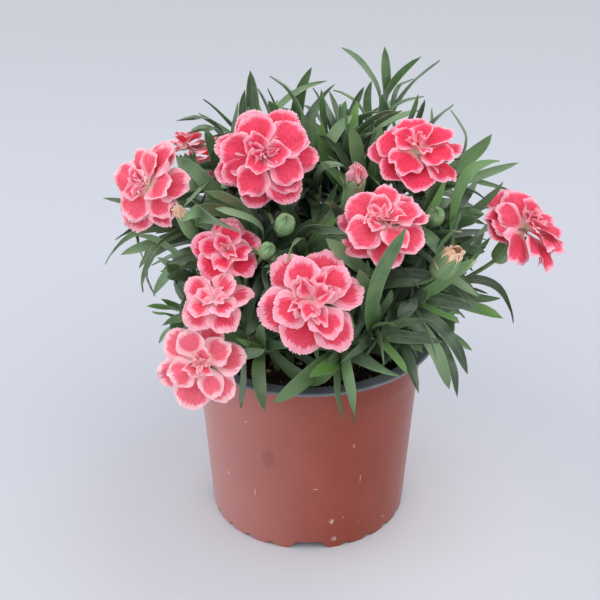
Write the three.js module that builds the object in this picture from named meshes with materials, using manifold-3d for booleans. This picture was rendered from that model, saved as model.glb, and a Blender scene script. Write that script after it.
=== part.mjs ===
// A flowering dianthus (pot carnation) in its thin plastic nursery pot: pot, compost, leafy shoots,
// flower stems with calyxes and buds, and double blooms with toothed petals.
// Millimetres, +Z up. The plant is laid out round the pot's axis, and the whole group is then moved so
// that the origin lies under the middle of its spread, on the surface that the pot stands on.
import * as THREE from "three";
import { mergeVertices } from "three/addons/utils/BufferGeometryUtils.js";
import Module from "manifold-3d";

const wasm = await Module();
wasm.setup();

// ---------------------------------------------------------------- driving dimensions

const POT = {
  height: 95,
  rimRadius: 60,
  wallTopRadius: 52.6,
  footRadius: 45.5,
  footWidth: 3,
  wall: 1.2,
  skirt: 3.2,
  rimEdge: 0.9,
  floorLift: 4,
  sides: 32,
};
const NOTCH = { count: 4, bottomWidth: 19, topWidth: 11, height: 4 };
const SCALLOP = { pitchDeg: 15, bottomWidth: 5.5, topWidth: 2.2, height: 1.3 };
const DRAIN = { count: 6, radius: 4.5, circle: 27, sides: 6 };

const SOIL = { top: 86.5, wallGap: 0.45, floorGap: 0.4, holeGap: 0.6, sides: 24 };
const STEM = { sunk: 6, flowerRadius: 1.5, shootRadius: 1.9, tipShare: 0.8, sides: 4, steps: 3 };
const CROWN = { spacing: 7.6, innerRadius: 4, outerRadius: 33, reach: 80, rounds: 80 };

const LEAF = {
  length: 46,
  width: 7.4,
  thickness: 1,
  channel: 0.2,
  neck: 0.15,
  stations: [0, 0.3, 0.68],
  longStations: [0, 0.25, 0.5, 0.78],
  lowOpening: 64,
  topOpening: 20,
  clearance: 0.35,
  rooted: 0.16,
  tries: 14,
};
// The ball that the foliage fills: no ordinary leaf's tip passes it.
const BALL = { centre: [2, 2, 120], radius: 92, height: 98 };
const CALYX = { length: 19, neck: 2, radius: 4.2, mouth: 4.6, wall: 1.1, recess: 6, under: 1.7, sides: 6 };
const BRANCH = { share: 0.55, radius: 1, sides: 4, steps: 3 };
const PETAL = { thickness: 1.3, claw: 5, core: 2.4, coreSides: 3, tooth: 0.07, roll: 14 };

// Petals in layers, from the flat outer ones to the small upright inner ones.
const FORMS = {
  full: [
    { count: 7, teeth: 7, rise: 3, lift: 0, share: 1, width: 0.66 },
    { count: 5, teeth: 5, rise: 21, lift: 1.5, share: 0.88, width: 0.68 },
    { count: 3, teeth: 3, rise: 46, lift: 2.6, share: 0.6, width: 0.5 },
  ],
  open: [
    { count: 6, teeth: 5, rise: 4, lift: 0, share: 1, width: 0.7 },
    { count: 4, teeth: 5, rise: 24, lift: 1.5, share: 0.82, width: 0.62 },
    { count: 3, teeth: 3, rise: 54, lift: 2.6, share: 0.55, width: 0.45 },
  ],
  small: [
    { count: 5, teeth: 5, rise: 8, lift: 0, share: 1, width: 0.8 },
    { count: 4, teeth: 5, rise: 34, lift: 1.3, share: 0.85, width: 0.66 },
    { count: 2, teeth: 3, rise: 60, lift: 2.2, share: 0.6, width: 0.5 },
  ],
  opening: [
    { count: 4, teeth: 5, rise: 72, lift: 0.4, share: 1, width: 0.55 },
    { count: 2, teeth: 3, rise: 84, lift: 1.6, share: 0.95, width: 0.4 },
  ],
};

// Open flowers: the eye where the petals spread, the way the flower faces, and the petals' reach.
const FLOWERS = [
  { form: "full", eye: [-18.8, -36, 197], face: [0.05, -0.78, 0.63], reach: 22.2 },
  { form: "full", eye: [45.2, -22, 191.5], face: [0.02, -0.3, 0.95], reach: 21 },
  { form: "full", eye: [31, -56, 175], face: [-0.1, -0.45, 0.89], reach: 19.8 },
  { form: "open", eye: [94.5, -10, 149], face: [0.5, -0.22, 0.84], reach: 22.6 },
  { form: "open", eye: [0.8, -78, 152.5], face: [0.03, -0.8, 0.6], reach: 23.5 },
  { form: "small", eye: [-34, -57, 163], face: [-0.1, -0.62, 0.78], reach: 15.5 },
  { form: "small", eye: [-39, -70, 147], face: [-0.15, -0.62, 0.77], reach: 16.5 },
  { form: "open", eye: [-44.7, -77, 121.5], face: [-0.12, -0.86, 0.5], reach: 19.5 },
  { form: "open", eye: [-68, -14, 172.5], face: [-0.66, -0.6, 0.45], reach: 21.5 },
  { form: "small", eye: [-56, 24, 172], face: [-0.2, 0.45, 0.87], reach: 12.5 },
  { form: "open", eye: [34, 74, 143], face: [0.3, 0.75, 0.59], reach: 21 },
  { form: "open", eye: [-42, 66, 146], face: [-0.35, 0.72, 0.6], reach: 20 },
  { form: "opening", eye: [20, -37, 180], face: [-0.05, -0.3, 0.95], reach: 12 },
];

// Buds that branch off a flower stem: which stem, the bud's tip, the way it points, length and radius.
const BUDS = [
  { stem: 8, tip: [-54.7, -40, 174], face: [-0.35, -0.3, 0.89], length: 17, radius: 3.4 },
  { stem: 0, tip: [-9.3, -63, 184], face: [0.1, -0.55, 0.83], length: 13, radius: 4.2 },
  { stem: 5, tip: [-15.5, -68, 173], face: [0.3, -0.6, 0.74], length: 11, radius: 3.4 },
  { stem: 2, tip: [61, -53, 160], face: [0.42, -0.35, 0.84], length: 15, radius: 4.9 },
  { stem: 1, tip: [54, -42, 176], face: [0.1, -0.6, 0.79], length: 12, radius: 3.8 },
  { stem: 10, tip: [8, 70, 158], face: [-0.2, 0.6, 0.77], length: 14, radius: 4.2 },
];

// Leafy shoots: where each one's growing tip is.
const SHOOT_TIPS = [
  [33, 24, 180],
  [46, 16, 176],
  [14, 24, 176],
  [-6, 18, 174],
  [-22, 12, 174],
  [-38, 8, 166],
  [54, 8, 162],
  [58, -6, 146],
  [4, -12, 172],
  [26, -12, 168],
  [-50, -12, 150],
  [-50, -24, 130],
  [-2, -44, 150],
  [-24, -34, 150],
  [46, -26, 156],
  [44, -44, 132],
  [28, -52, 120],
  [54, -34, 116],
  [60, -12, 122],
  [15, -52, 112],
  [-20, -50, 112],
  [12, 42, 160],
  [-22, 34, 158],
  [42, 34, 148],
  [-50, 24, 142],
  [54, 20, 126],
  [-30, 50, 118],
  [2, 56, 126],
  [34, 48, 116],
  [18, 8, 180],
  [64, -22, 142],
  [-54, -30, 114],
];

// Long leaves that reach out of the mass: which shoot, where along it, and where the leaf's tip is.
const REACHING = [
  { shoot: 0, share: 0.97, tip: [36, 34, 217] },
  { shoot: 0, share: 0.9, tip: [16, 34, 217] },
  { shoot: 1, share: 0.9, tip: [44, 22, 215] },
  { shoot: 1, share: 0.97, tip: [53, 28, 213] },
  { shoot: 6, share: 0.99, tip: [60, 24, 212] },
  { shoot: 4, share: 0.95, tip: [-24, 26, 210] },
  { shoot: 3, share: 0.95, tip: [-12, 18, 209] },
  { shoot: 2, share: 0.95, tip: [4, 30, 209] },
  { shoot: 3, share: 0.99, tip: [6, 34, 203] },
  { shoot: 5, share: 0.9, tip: [-57, 14, 192] },
  { shoot: 5, share: 0.94, tip: [-44, 20, 198] },
  { shoot: 5, share: 0.99, tip: [-30, 16, 200] },
  { shoot: 10, share: 0.9, tip: [-89, -4, 163] },
  { shoot: 11, share: 0.95, tip: [-89, -8, 133] },
  { shoot: 11, share: 0.85, tip: [-74, -40, 135] },
  { shoot: 11, share: 0.75, tip: [-85, -20, 128] },
  { shoot: 6, share: 0.95, tip: [82, 14, 182] },
  { shoot: 25, share: 0.97, tip: [84, 20, 150] },
  { shoot: 6, share: 0.85, tip: [84, -2, 176] },
  { shoot: 7, share: 0.9, tip: [94, 8, 171] },
  { shoot: 18, share: 0.97, tip: [92, -16, 105] },
  { shoot: 18, share: 0.9, tip: [83, -14, 105] },
  { shoot: 17, share: 0.9, tip: [69, -52, 113] },
  { shoot: 17, share: 0.97, tip: [64, -60, 94] },
  { shoot: 15, share: 0.9, tip: [59, -70, 105] },
  { shoot: 16, share: 0.95, tip: [47, -78, 108] },
  { shoot: 19, share: 0.95, tip: [15, -80, 96] },
  { shoot: 19, share: 0.85, tip: [21, -78, 96] },
  { shoot: 20, share: 0.95, tip: [-19, -80, 101] },
  { shoot: 20, share: 0.85, tip: [-12, -82, 105] },
  { shoot: 15, share: 0.97, tip: [40, -80, 113] },
];

// ---------------------------------------------------------------- small helpers

const V = (x, y, z) => new THREE.Vector3(x, y, z);
const UP = V(0, 0, 1);
const rad = THREE.MathUtils.degToRad;
const mix = THREE.MathUtils.lerp;
const along = (point, direction, distance) => point.clone().addScaledVector(direction, distance);
const square = (reference, axis) => reference.clone().projectOnPlane(axis).normalize();
const turned = (u, v, angle) => u.clone().multiplyScalar(Math.cos(angle)).addScaledVector(v, Math.sin(angle));

// A repeatable draw from 0 to 1 for a few whole-number keys.
function chance(...keys) {
  let h = 2166136261;
  for (const key of keys) {
    h = Math.imul(h ^ (key + 977), 16777619);
    h ^= h >>> 15;
    h = Math.imul(h, 2246822519);
    h ^= h >>> 13;
  }
  return (h >>> 0) / 4294967296;
}

// A closed solid from points and triangles, turned the right way out.
function solidOf(points, triangles) {
  const vertProperties = new Float32Array(points.flatMap((p) => [p.x, p.y, p.z]));
  const build = (faces) =>
    new wasm.Manifold(new wasm.Mesh({ numProp: 3, vertProperties, triVerts: new Uint32Array(faces.flat()) }));
  const made = build(triangles);
  return made.volume() > 0 ? made : build(triangles.map(([a, b, c]) => [a, c, b]));
}

function solidFromGeometry(geometry) {
  const bare = geometry.clone();
  bare.deleteAttribute("normal");
  bare.deleteAttribute("uv");
  const { attributes, index } = mergeVertices(bare, 1e-4);
  const points = Array.from({ length: attributes.position.count }, (_, i) =>
    V().fromBufferAttribute(attributes.position, i),
  );
  const triangles = Array.from({ length: index.count / 3 }, (_, i) =>
    [0, 1, 2].map((corner) => index.getX(3 * i + corner)),
  );
  return solidOf(points, triangles.filter((triangle) => new Set(triangle).size === 3));
}

function geometryOf(solid) {
  const mesh = solid.getMesh();
  const position = new Float32Array(mesh.numVert * 3);
  for (let i = 0; i < mesh.numVert; i++)
    position.set(mesh.vertProperties.subarray(i * mesh.numProp, i * mesh.numProp + 3), i * 3);
  return new THREE.BufferGeometry()
    .setAttribute("position", new THREE.BufferAttribute(position, 3))
    .setIndex(new THREE.BufferAttribute(mesh.triVerts, 1));
}

// Rings of points joined into a closed skin. The first ring is capped, and the last one may be a point.
function skin(rings) {
  const faces = [];
  const first = [];
  rings.reduce((sum, ring, i) => (first[i] = sum) + ring.length, 0);
  for (let i = 0; i + 1 < rings.length; i++) {
    const n = rings[i].length;
    const m = rings[i + 1].length;
    for (let k = 0; k < n; k++) {
      const [a0, a1] = [first[i] + k, first[i] + ((k + 1) % n)];
      const [b0, b1] = [first[i + 1] + (k % m), first[i + 1] + ((k + 1) % m)];
      faces.push([a0, a1, b0]);
      if (m > 1) faces.push([a1, b1, b0]);
    }
  }
  const last = rings.length - 1;
  for (let k = 1; k + 1 < rings[0].length; k++) faces.push([0, k + 1, k]);
  for (let k = 1; k + 1 < rings[last].length; k++)
    faces.push([first[last], first[last] + k, first[last] + k + 1]);
  return solidOf(rings.flat(), faces);
}

// A ring of points round a centre, across an axis, that starts at an angle from the reference direction.
function ringAcross(centre, axis, radius, sides, reference, start = 0) {
  const u = square(reference, axis);
  const v = axis.clone().cross(u);
  return Array.from({ length: sides }, (_, k) =>
    along(centre, turned(u, v, start + (2 * Math.PI * k) / sides), radius),
  );
}

// A tapered stalk round a curve, with straight rings for its foot.
function stalk({ curve, reference, start }, fromRadius, toRadius, { steps, sides }, foot = []) {
  const rings = foot.map((point) => ringAcross(point, UP, fromRadius, sides, reference, start));
  for (let i = 0; i <= steps; i++) {
    const t = i / steps;
    const radius = mix(fromRadius, toRadius, t);
    rings.push(ringAcross(curve.getPoint(t), curve.getTangent(t), radius, sides, reference, start));
  }
  return skin(rings);
}

// ---------------------------------------------------------------- pot and compost

function innerWallRadius(z) {
  const bottom = POT.floorLift + POT.wall;
  const share = (z - bottom) / (POT.height - POT.wall - bottom);
  return mix(POT.footRadius, POT.wallTopRadius, share) - POT.wall;
}

function lathe(profile, sides) {
  const points = profile.map(([r, z]) => new THREE.Vector2(r, z));
  return solidFromGeometry(new THREE.LatheGeometry(points, sides).rotateX(Math.PI / 2));
}

// A prism through the foot ring at one bearing, wider at the bottom, that cuts a notch.
function footCut(bearing, { bottomWidth, topWidth, height }) {
  const [b, t] = [bottomWidth / 2, topWidth / 2];
  const outline = [[-b, -1], [b, -1], [b, 0], [t, height], [-t, height], [-b, 0]];
  const shape = new THREE.Shape(outline.map(([x, z]) => new THREE.Vector2(x, z)));
  const depth = 3 * POT.footWidth;
  const prism = new THREE.ExtrudeGeometry(shape, { depth, bevelEnabled: false });
  prism.rotateX(Math.PI / 2).translate(0, depth / 2 - POT.footRadius, 0);
  return solidFromGeometry(prism.rotateZ(bearing));
}

function makePot() {
  const { height, rimRadius, wallTopRadius, footRadius, footWidth, wall, skirt, rimEdge, floorLift } = POT;
  const underRim = height - 2 * wall;
  const body = lathe(
    [
      [0, floorLift],
      [footRadius - footWidth - 1, floorLift],
      [footRadius - footWidth, 0],
      [footRadius, 0],
      [wallTopRadius, underRim],
      [rimRadius - wall, underRim],
      [rimRadius - wall, height - skirt],
      [rimRadius, height - skirt],
      [rimRadius, height - rimEdge],
      [rimRadius - rimEdge, height],
      [wallTopRadius - wall, height],
      [innerWallRadius(floorLift + wall), floorLift + wall],
      [0, floorLift + wall],
    ],
    POT.sides,
  );
  const cuts = [];
  const notchPitch = 360 / NOTCH.count;
  for (let k = 0; k < NOTCH.count; k++) cuts.push(footCut(rad(k * notchPitch), NOTCH));
  for (let deg = SCALLOP.pitchDeg / 2; deg < 360; deg += SCALLOP.pitchDeg) {
    const fromNotch = Math.min(deg % notchPitch, notchPitch - (deg % notchPitch));
    if (fromNotch > SCALLOP.pitchDeg) cuts.push(footCut(rad(deg), SCALLOP));
  }
  for (let k = 0; k < DRAIN.count; k++) {
    const bearing = (2 * Math.PI * (k + 0.5)) / DRAIN.count;
    const hole = new THREE.CylinderGeometry(DRAIN.radius, DRAIN.radius, 3 * wall, DRAIN.sides);
    hole.rotateX(Math.PI / 2).translate(DRAIN.circle, 0, floorLift + wall / 2);
    cuts.push(solidFromGeometry(hole.rotateZ(bearing)));
  }
  return body.subtract(wasm.Manifold.union(cuts));
}

function makeSoil(stems) {
  const bottom = POT.floorLift + POT.wall + SOIL.floorGap;
  const body = lathe(
    [
      [0, bottom],
      [innerWallRadius(bottom) - SOIL.wallGap, bottom],
      [innerWallRadius(SOIL.top) - SOIL.wallGap, SOIL.top],
      [0, SOIL.top],
    ],
    SOIL.sides,
  );
  const holes = stems.map(({ base, radius, reference, start }) => {
    const corner = radius + Math.SQRT2 * SOIL.holeGap;
    return skin(
      [base.z - SOIL.holeGap, SOIL.top + 1].map((z) =>
        ringAcross(V(base.x, base.y, z), UP, corner, STEM.sides, reference, start),
      ),
    );
  });
  return body.subtract(wasm.Manifold.union(holes));
}

// ---------------------------------------------------------------- stems

// Where each stem comes out of the compost: towards the side it leans to, and pushed apart.
function crownBases(tips) {
  const bases = tips.map((tip, i) => {
    const lean = Math.min(1, Math.hypot(tip.x, tip.y) / CROWN.reach);
    const bearing = Math.atan2(tip.y, tip.x) + 0.15 * (chance(i, 7) - 0.5);
    const out = mix(CROWN.innerRadius, CROWN.outerRadius, lean);
    return V(out * Math.cos(bearing), out * Math.sin(bearing), SOIL.top - STEM.sunk);
  });
  for (let round = 0; round < CROWN.rounds; round++)
    for (let i = 0; i < bases.length; i++)
      for (let j = 0; j < i; j++) {
        const apart = bases[i].clone().sub(bases[j]);
        const distance = Math.max(0.01, apart.length());
        if (distance >= CROWN.spacing) continue;
        apart.multiplyScalar((0.25 * (CROWN.spacing - distance)) / distance);
        bases[i].add(apart);
        bases[j].sub(apart);
      }
  return bases;
}

// Above the compost a stem rises and leans over to end at its tip, pointing along its heading.
// Its cross-section is turned so that its flat sides face the leaves, which stand in crossed pairs.
function makeStem({ tip, heading, flower }, index, base) {
  const ground = V(base.x, base.y, SOIL.top + 1);
  const span = ground.distanceTo(tip);
  const lean = V(tip.x - base.x, tip.y - base.y, 0).normalize();
  const turn = 0.9 * (chance(index, 5) - 0.5);
  return {
    index,
    flower,
    base,
    curve: new THREE.CubicBezierCurve3(
      ground,
      along(ground, UP, 0.36 * span),
      along(tip, heading, -0.34 * span),
      tip,
    ),
    reference: UP.clone().cross(lean),
    turn,
    start: turn + Math.PI / STEM.sides,
    radius: flower ? STEM.flowerRadius : STEM.shootRadius,
    pairs: flower ? 1 : 3,
    from: flower ? 0.5 : 0.48,
    upTo: flower ? 0.5 : 0.985,
    size: flower ? 0.7 : mix(0.86, 1.06, chance(index, 3)),
  };
}

// A point of a stem at share t of its length, on the straight stretches between its rings, and the
// direction of that stretch.
function onStem({ curve }, t) {
  const stretch = Math.min(STEM.steps - 1, Math.floor(t * STEM.steps));
  const [start, end] = [stretch, stretch + 1].map((ring) => curve.getPoint(ring / STEM.steps));
  return { point: start.clone().lerp(end, t * STEM.steps - stretch), axis: end.sub(start).normalize() };
}

function shootHeading(tip) {
  const out = Math.min(1, Math.hypot(tip.x, tip.y) / CROWN.reach);
  return V(tip.x / 60, tip.y / 60, mix(1.25, 0.35, out)).normalize();
}

// ---------------------------------------------------------------- leaves

const halfWidth = (s, width) =>
  (width / 2) * mix(LEAF.neck, 1, Math.sin((Math.PI / 2) * Math.min(1, s / 0.42))) * (1 - s ** 3.4) ** 0.8;

// Where a leaf springs from, and how it bends. pair counts from the bottom of the stem, side is 0 or 1.
// Each later attempt swings the leaf further from its first place.
function leafPlan(stem, pair, side, attempt) {
  const { reference, turn, index, pairs, from, upTo, size } = stem;
  const draw = (k) => chance(index, pair, side, attempt, k) - 0.5;
  const share = pairs > 1 ? pair / (pairs - 1) : 0;
  const { point: root, axis } = onStem(stem, mix(from, upTo, share));
  const u = square(reference, axis);
  const swing = attempt / LEAF.tries;
  const bearing = turn + ((pair + 2 * side) * Math.PI) / 2 + draw(1) * mix(0.3, 3, swing);
  const radial = turned(u, axis.clone().cross(u), bearing);
  const opening = rad(mix(LEAF.lowOpening, LEAF.topOpening, share ** 0.9) + draw(2) * mix(12, 80, swing));
  const heading = turned(axis, radial, opening);
  const droop = 0.06 + 0.16 * (draw(3) + 0.5) + 0.12 * Math.sin(opening);
  return {
    root,
    heading,
    upper: square(axis, heading),
    bend: radial.clone().multiplyScalar(0.18 + 0.16 * draw(4)).addScaledVector(UP, -droop),
    length: LEAF.length * size * mix(1, 0.8, share ** 3) * (1 + 0.26 * draw(5)) * mix(1, 0.7, swing),
    width: LEAF.width * (1 + 0.24 * draw(6)),
    twist: 0.9 * draw(7),
    stations: LEAF.stations,
  };
}

// A long leaf from its stem to a tip that is given. Its upper side faces the stem, as in the bud.
function reachingPlan(stem, share, tip, attempt) {
  const draw = (k) => chance(stem.index, Math.round(1000 * share), attempt, k) - 0.5;
  const { point: root, axis } = onStem(stem, share - 0.03 * attempt);
  const bend = UP.clone().multiplyScalar(-0.12 - 0.03 * attempt);
  const length = root.distanceTo(tip);
  const heading = tip.clone().sub(root).divideScalar(length).sub(bend);
  return {
    root,
    heading,
    upper: square(axis, heading.clone().normalize()),
    bend,
    length,
    width: LEAF.width * (1 + 0.2 * draw(6)),
    twist: 0.9 * draw(7),
    stations: LEAF.longStations,
  };
}

// The midrib's point, side direction and upper normal at share s of a leaf.
function leafFrame(leaf, s) {
  const point = along(along(leaf.root, leaf.heading, leaf.length * s), leaf.bend, leaf.length * s * s);
  const heading = along(leaf.heading, leaf.bend, 2 * s).normalize();
  const side = heading.clone().cross(leaf.upper).normalize().applyAxisAngle(heading, leaf.twist * s);
  return { point, side, normal: side.clone().cross(heading) };
}

// A channelled blade from share start of the leaf to its tip, thicker all round by grow.
function leafSolid(leaf, start = 0, grow = 0) {
  const rings = leaf.stations.map((station) => {
    const s = mix(start, 1, station);
    const { point, side, normal } = leafFrame(leaf, s);
    const half = halfWidth(s, leaf.width) + grow;
    const edge = along(point, normal, LEAF.channel * half + grow);
    const keel = LEAF.thickness * Math.min(1, 0.5 + 3 * s) + grow;
    return [along(edge, side, -half), along(edge, side, half), along(point, normal, -keel)];
  });
  const tip = leafFrame(leaf, 1);
  return skin([...rings, [along(tip.point, tip.normal, LEAF.channel)]]);
}

// ---------------------------------------------------------------- flowers and buds

const sideways = (face) => UP.clone().cross(face).normalize();

function petalPlans({ eye, face, reach, form }, index) {
  const u = sideways(face);
  const v = face.clone().cross(u);
  return FORMS[form].flatMap((layer, row) =>
    Array.from({ length: layer.count }, (_, k) => {
      const draw = (key) => chance(index, row, k, key + 40) - 0.5;
      const bearing = (2 * Math.PI * (k + 0.5 * row + 0.3 * draw(1))) / layer.count + 1.1 * index;
      const out = turned(u, v, bearing);
      const heading = turned(out, face, rad(layer.rise + (3 + 5 * row) * draw(2)));
      const side = face.clone().cross(out).applyAxisAngle(heading, -rad(PETAL.roll));
      return {
        teeth: layer.teeth,
        root: along(eye, face, layer.lift),
        heading,
        side,
        normal: heading.clone().cross(side),
        reach: reach * layer.share * (1 + 0.12 * draw(3)),
        width: reach * layer.width * (1 + 0.16 * draw(4)),
        cup: 0.22 + 0.3 * draw(5),
        recurve: 0.2 + 0.16 * draw(6),
        ruffle: 0.05 + 0.04 * draw(7),
        phase: 2 * Math.PI * draw(8),
      };
    }),
  );
}

// Half-breadth of a petal as a share of its full one: a narrow claw that opens into a rounded fan.
const petalBreadth = (v) => mix(0.16, 1, THREE.MathUtils.smoothstep(v, 0.1, 0.74));

// A point of a petal: u is -1 to 1 across it, v is 0 at the claw and 1 at the outer margin.
function petalPoint(petal, u, v, toothed = 0) {
  const half = (petal.width / 2) * petalBreadth(v);
  const length = petal.reach * v * (1 - 0.24 * v * Math.abs(u) ** 2.6 - toothed);
  const wave = petal.ruffle * Math.sin(6 * u + petal.phase) * v * v;
  const height = petal.cup * half * u * u + petal.reach * (0.5 * petal.recurve * v * (1 - 2 * v) + wave);
  return along(along(along(petal.root, petal.heading, length), petal.side, half * u), petal.normal, height);
}

// A petal as a thin lens: one rim of points, and an inner pair apart by its thickness.
function petalSolid(petal) {
  const margin = Array.from({ length: petal.teeth }, (_, k) =>
    petalPoint(petal, mix(-0.9, 0.9, k / (petal.teeth - 1)), 1, k % 2 ? PETAL.tooth : 0),
  );
  const rim = [petal.root, petalPoint(petal, -1, 0.66), ...margin, petalPoint(petal, 1, 0.66)];
  const n = rim.length;
  const inner = [0.5, -0.5].map((share) =>
    along(petalPoint(petal, 0, 0.62), petal.normal, share * PETAL.thickness),
  );
  const upper = rim.map((_, k) => [k, (k + 1) % n, n]);
  const lower = rim.map((_, k) => [(k + 1) % n, k, n + 1]);
  return solidOf([...rim, ...inner], [...upper, ...lower]);
}

// All petals of a flower, joined by the claws that stand together in the calyx.
function makeBloom(flower, index) {
  const { eye, face } = flower;
  const ring = (height, radius) =>
    ringAcross(along(eye, face, height), face, radius, PETAL.coreSides, sideways(face));
  const claws = skin([ring(-PETAL.claw, PETAL.core), [along(eye, face, 8)]]);
  return wasm.Manifold.union([claws, ...petalPlans(flower, index).map(petalSolid)]);
}

const calyxBase = ({ eye, face }) => along(eye, face, -CALYX.under - CALYX.length);

// A green cup round the petals' claws, with a hollow that leaves them clear.
function makeCalyx(flower) {
  const { face } = flower;
  const ring = (height, radius) =>
    ringAcross(along(calyxBase(flower), face, height), face, radius, CALYX.sides, sideways(face));
  const { length, neck, radius, mouth, wall, recess } = CALYX;
  const cup = skin([ring(0, neck), ring(0.25 * length, radius), ring(length, mouth)]);
  return cup.subtract(skin([ring(length - recess, mouth - wall), ring(length + 1, mouth - wall)]));
}

// A bud on its stalk, which leaves the flower stem part of the way up.
function makeBud(bud, stem) {
  const { point: foot, axis } = onStem(stem, BRANCH.share);
  const neck = along(bud.tip, bud.face, 1 - bud.length);
  const span = foot.distanceTo(neck);
  const curve = new THREE.CubicBezierCurve3(
    foot,
    along(foot, axis, 0.4 * span),
    along(neck, bud.face, -0.4 * span),
    neck,
  );
  const ring = (share, radius) =>
    ringAcross(along(bud.tip, bud.face, -bud.length * (1 - share)), bud.face, bud.radius * radius, 6, UP);
  const body = skin([ring(0, 0.42), ring(0.22, 0.92), ring(0.62, 1), ring(0.88, 0.55), [bud.tip]]);
  return [stalk({ ...stem, curve }, BRANCH.radius, BRANCH.radius, BRANCH), body];
}

// ---------------------------------------------------------------- laying the plant out

const flowers = FLOWERS.map((f) => ({ ...f, eye: V(...f.eye), face: V(...f.face).normalize() }));
const buds = BUDS.map((b) => ({ ...b, tip: V(...b.tip), face: V(...b.face).normalize() }));
const flowerEnd = (flower) => ({
  flower,
  tip: along(calyxBase(flower), flower.face, 1),
  heading: flower.face,
});
const shootEnd = (tip) => ({ tip, heading: shootHeading(tip) });
const ends = [...flowers.map(flowerEnd), ...SHOOT_TIPS.map((xyz) => shootEnd(V(...xyz)))];
const bases = crownBases(ends.map(({ tip }) => tip));
const stems = ends.map((end, index) => makeStem(end, index, bases[index]));

const pot = makePot();
const soil = makeSoil(stems);
const blooms = flowers.map(makeBloom);

// Everything that a leaf has to stay clear of, with the stem that owns it.
const placed = [];
const place = (solid, owner, trunk = false) => placed.push({ solid, owner, trunk, box: solid.boundingBox() });
const boxesMeet = (a, b) => [0, 1, 2].every((k) => a.min[k] <= b.max[k] && b.min[k] <= a.max[k]);
const meets = (p, solid, box) => boxesMeet(p.box, box) && !p.solid.intersect(solid).isEmpty();

[pot, soil, ...blooms].forEach((solid) => place(solid, -1));
const greens = stems.map((stem) => {
  const trunk = stalk(stem, stem.radius, stem.radius * STEM.tipShare, STEM, [stem.base]);
  const heads = stem.flower
    ? [makeCalyx(stem.flower), ...buds.filter((b) => b.stem === stem.index).flatMap((b) => makeBud(b, stem))]
    : [];
  place(trunk, stem.index, true);
  heads.forEach((head) => place(head, stem.index));
  return [trunk, ...heads];
});

// A leaf stays clear of everything, and past its own root also of its own stem's other leaves.
function isClear(leaf, owner) {
  const whole = leafSolid(leaf, 0, LEAF.clearance);
  const outer = leafSolid(leaf, LEAF.rooted);
  const box = whole.boundingBox();
  return placed.every((p) => (p.owner === owner ? p.trunk || !meets(p, outer, box) : !meets(p, whole, box)));
}

function isInBall({ x, y, z }) {
  const [cx, cy, cz] = BALL.centre;
  return Math.hypot((x - cx) / BALL.radius, (y - cy) / BALL.radius, (z - cz) / BALL.height) < 1;
}

// Adds the first of the leaves planned for each attempt that is clear, or none.
function addLeaf(stem, plan) {
  for (let attempt = 0; attempt < LEAF.tries; attempt++) {
    const leaf = plan(attempt);
    if (leaf.stations === LEAF.stations && !isInBall(leafFrame(leaf, 1).point)) continue;
    if (!isClear(leaf, stem.index)) continue;
    const solid = leafSolid(leaf);
    place(solid, stem.index);
    greens[stem.index].push(solid);
    return;
  }
}

REACHING.forEach(({ shoot, share, tip }) => {
  const stem = stems[FLOWERS.length + shoot];
  addLeaf(stem, (attempt) => reachingPlan(stem, share, V(...tip), attempt));
});
const mostPairs = Math.max(...stems.map(({ pairs }) => pairs));
for (let pair = mostPairs - 1; pair >= 0; pair--)
  for (const stem of stems.filter(({ pairs }) => pair < pairs))
    for (const side of [0, 1]) addLeaf(stem, (attempt) => leafPlan(stem, pair, side, attempt));

// ---------------------------------------------------------------- the scene graph

const finish = (color, roughness) => new THREE.MeshStandardMaterial({ color, roughness, metalness: 0 });
const terracotta = finish(0xa05a4c, 0.5);
const compost = finish(0x2e2620, 1);
const foliage = finish(0x4a6a48, 0.6);
const petals = finish(0xf2647c, 0.7);

const plant = new THREE.Group();
function addNode(name, solid, material) {
  const mesh = new THREE.Mesh(geometryOf(solid), material);
  mesh.name = name;
  plant.add(mesh);
}
const numbered = (word, k) => word + "_" + String(k + 1).padStart(2, "0");

addNode("pot", pot, terracotta);
addNode("soil", soil, compost);
greens.forEach((parts, i) => {
  const name = stems[i].flower ? numbered("flower_stem", i) : numbered("leafy_shoot", i - flowers.length);
  addNode(name, wasm.Manifold.union(parts), foliage);
});
blooms.forEach((bloom, i) => addNode(numbered("bloom", i), bloom, petals));

const spread = new THREE.Box3().setFromObject(plant);
const middle = spread.getCenter(V());
plant.position.set(-middle.x, -middle.y, -spread.min.z);

export default plant;
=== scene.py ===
# A flowering dianthus in its thin nursery pot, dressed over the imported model: pot, compost, leafy
# shoots, flower stems with calyxes and buds, and double blooms with toothed petals. Sizes are in
# millimetres from the pot's axis, and each finished piece is scaled to the frame's metres.
import math
from types import SimpleNamespace

import bmesh
import bpy
import numpy as np
from mathutils import Matrix, Quaternion, Vector
from mathutils.bvhtree import BVHTree


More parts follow.
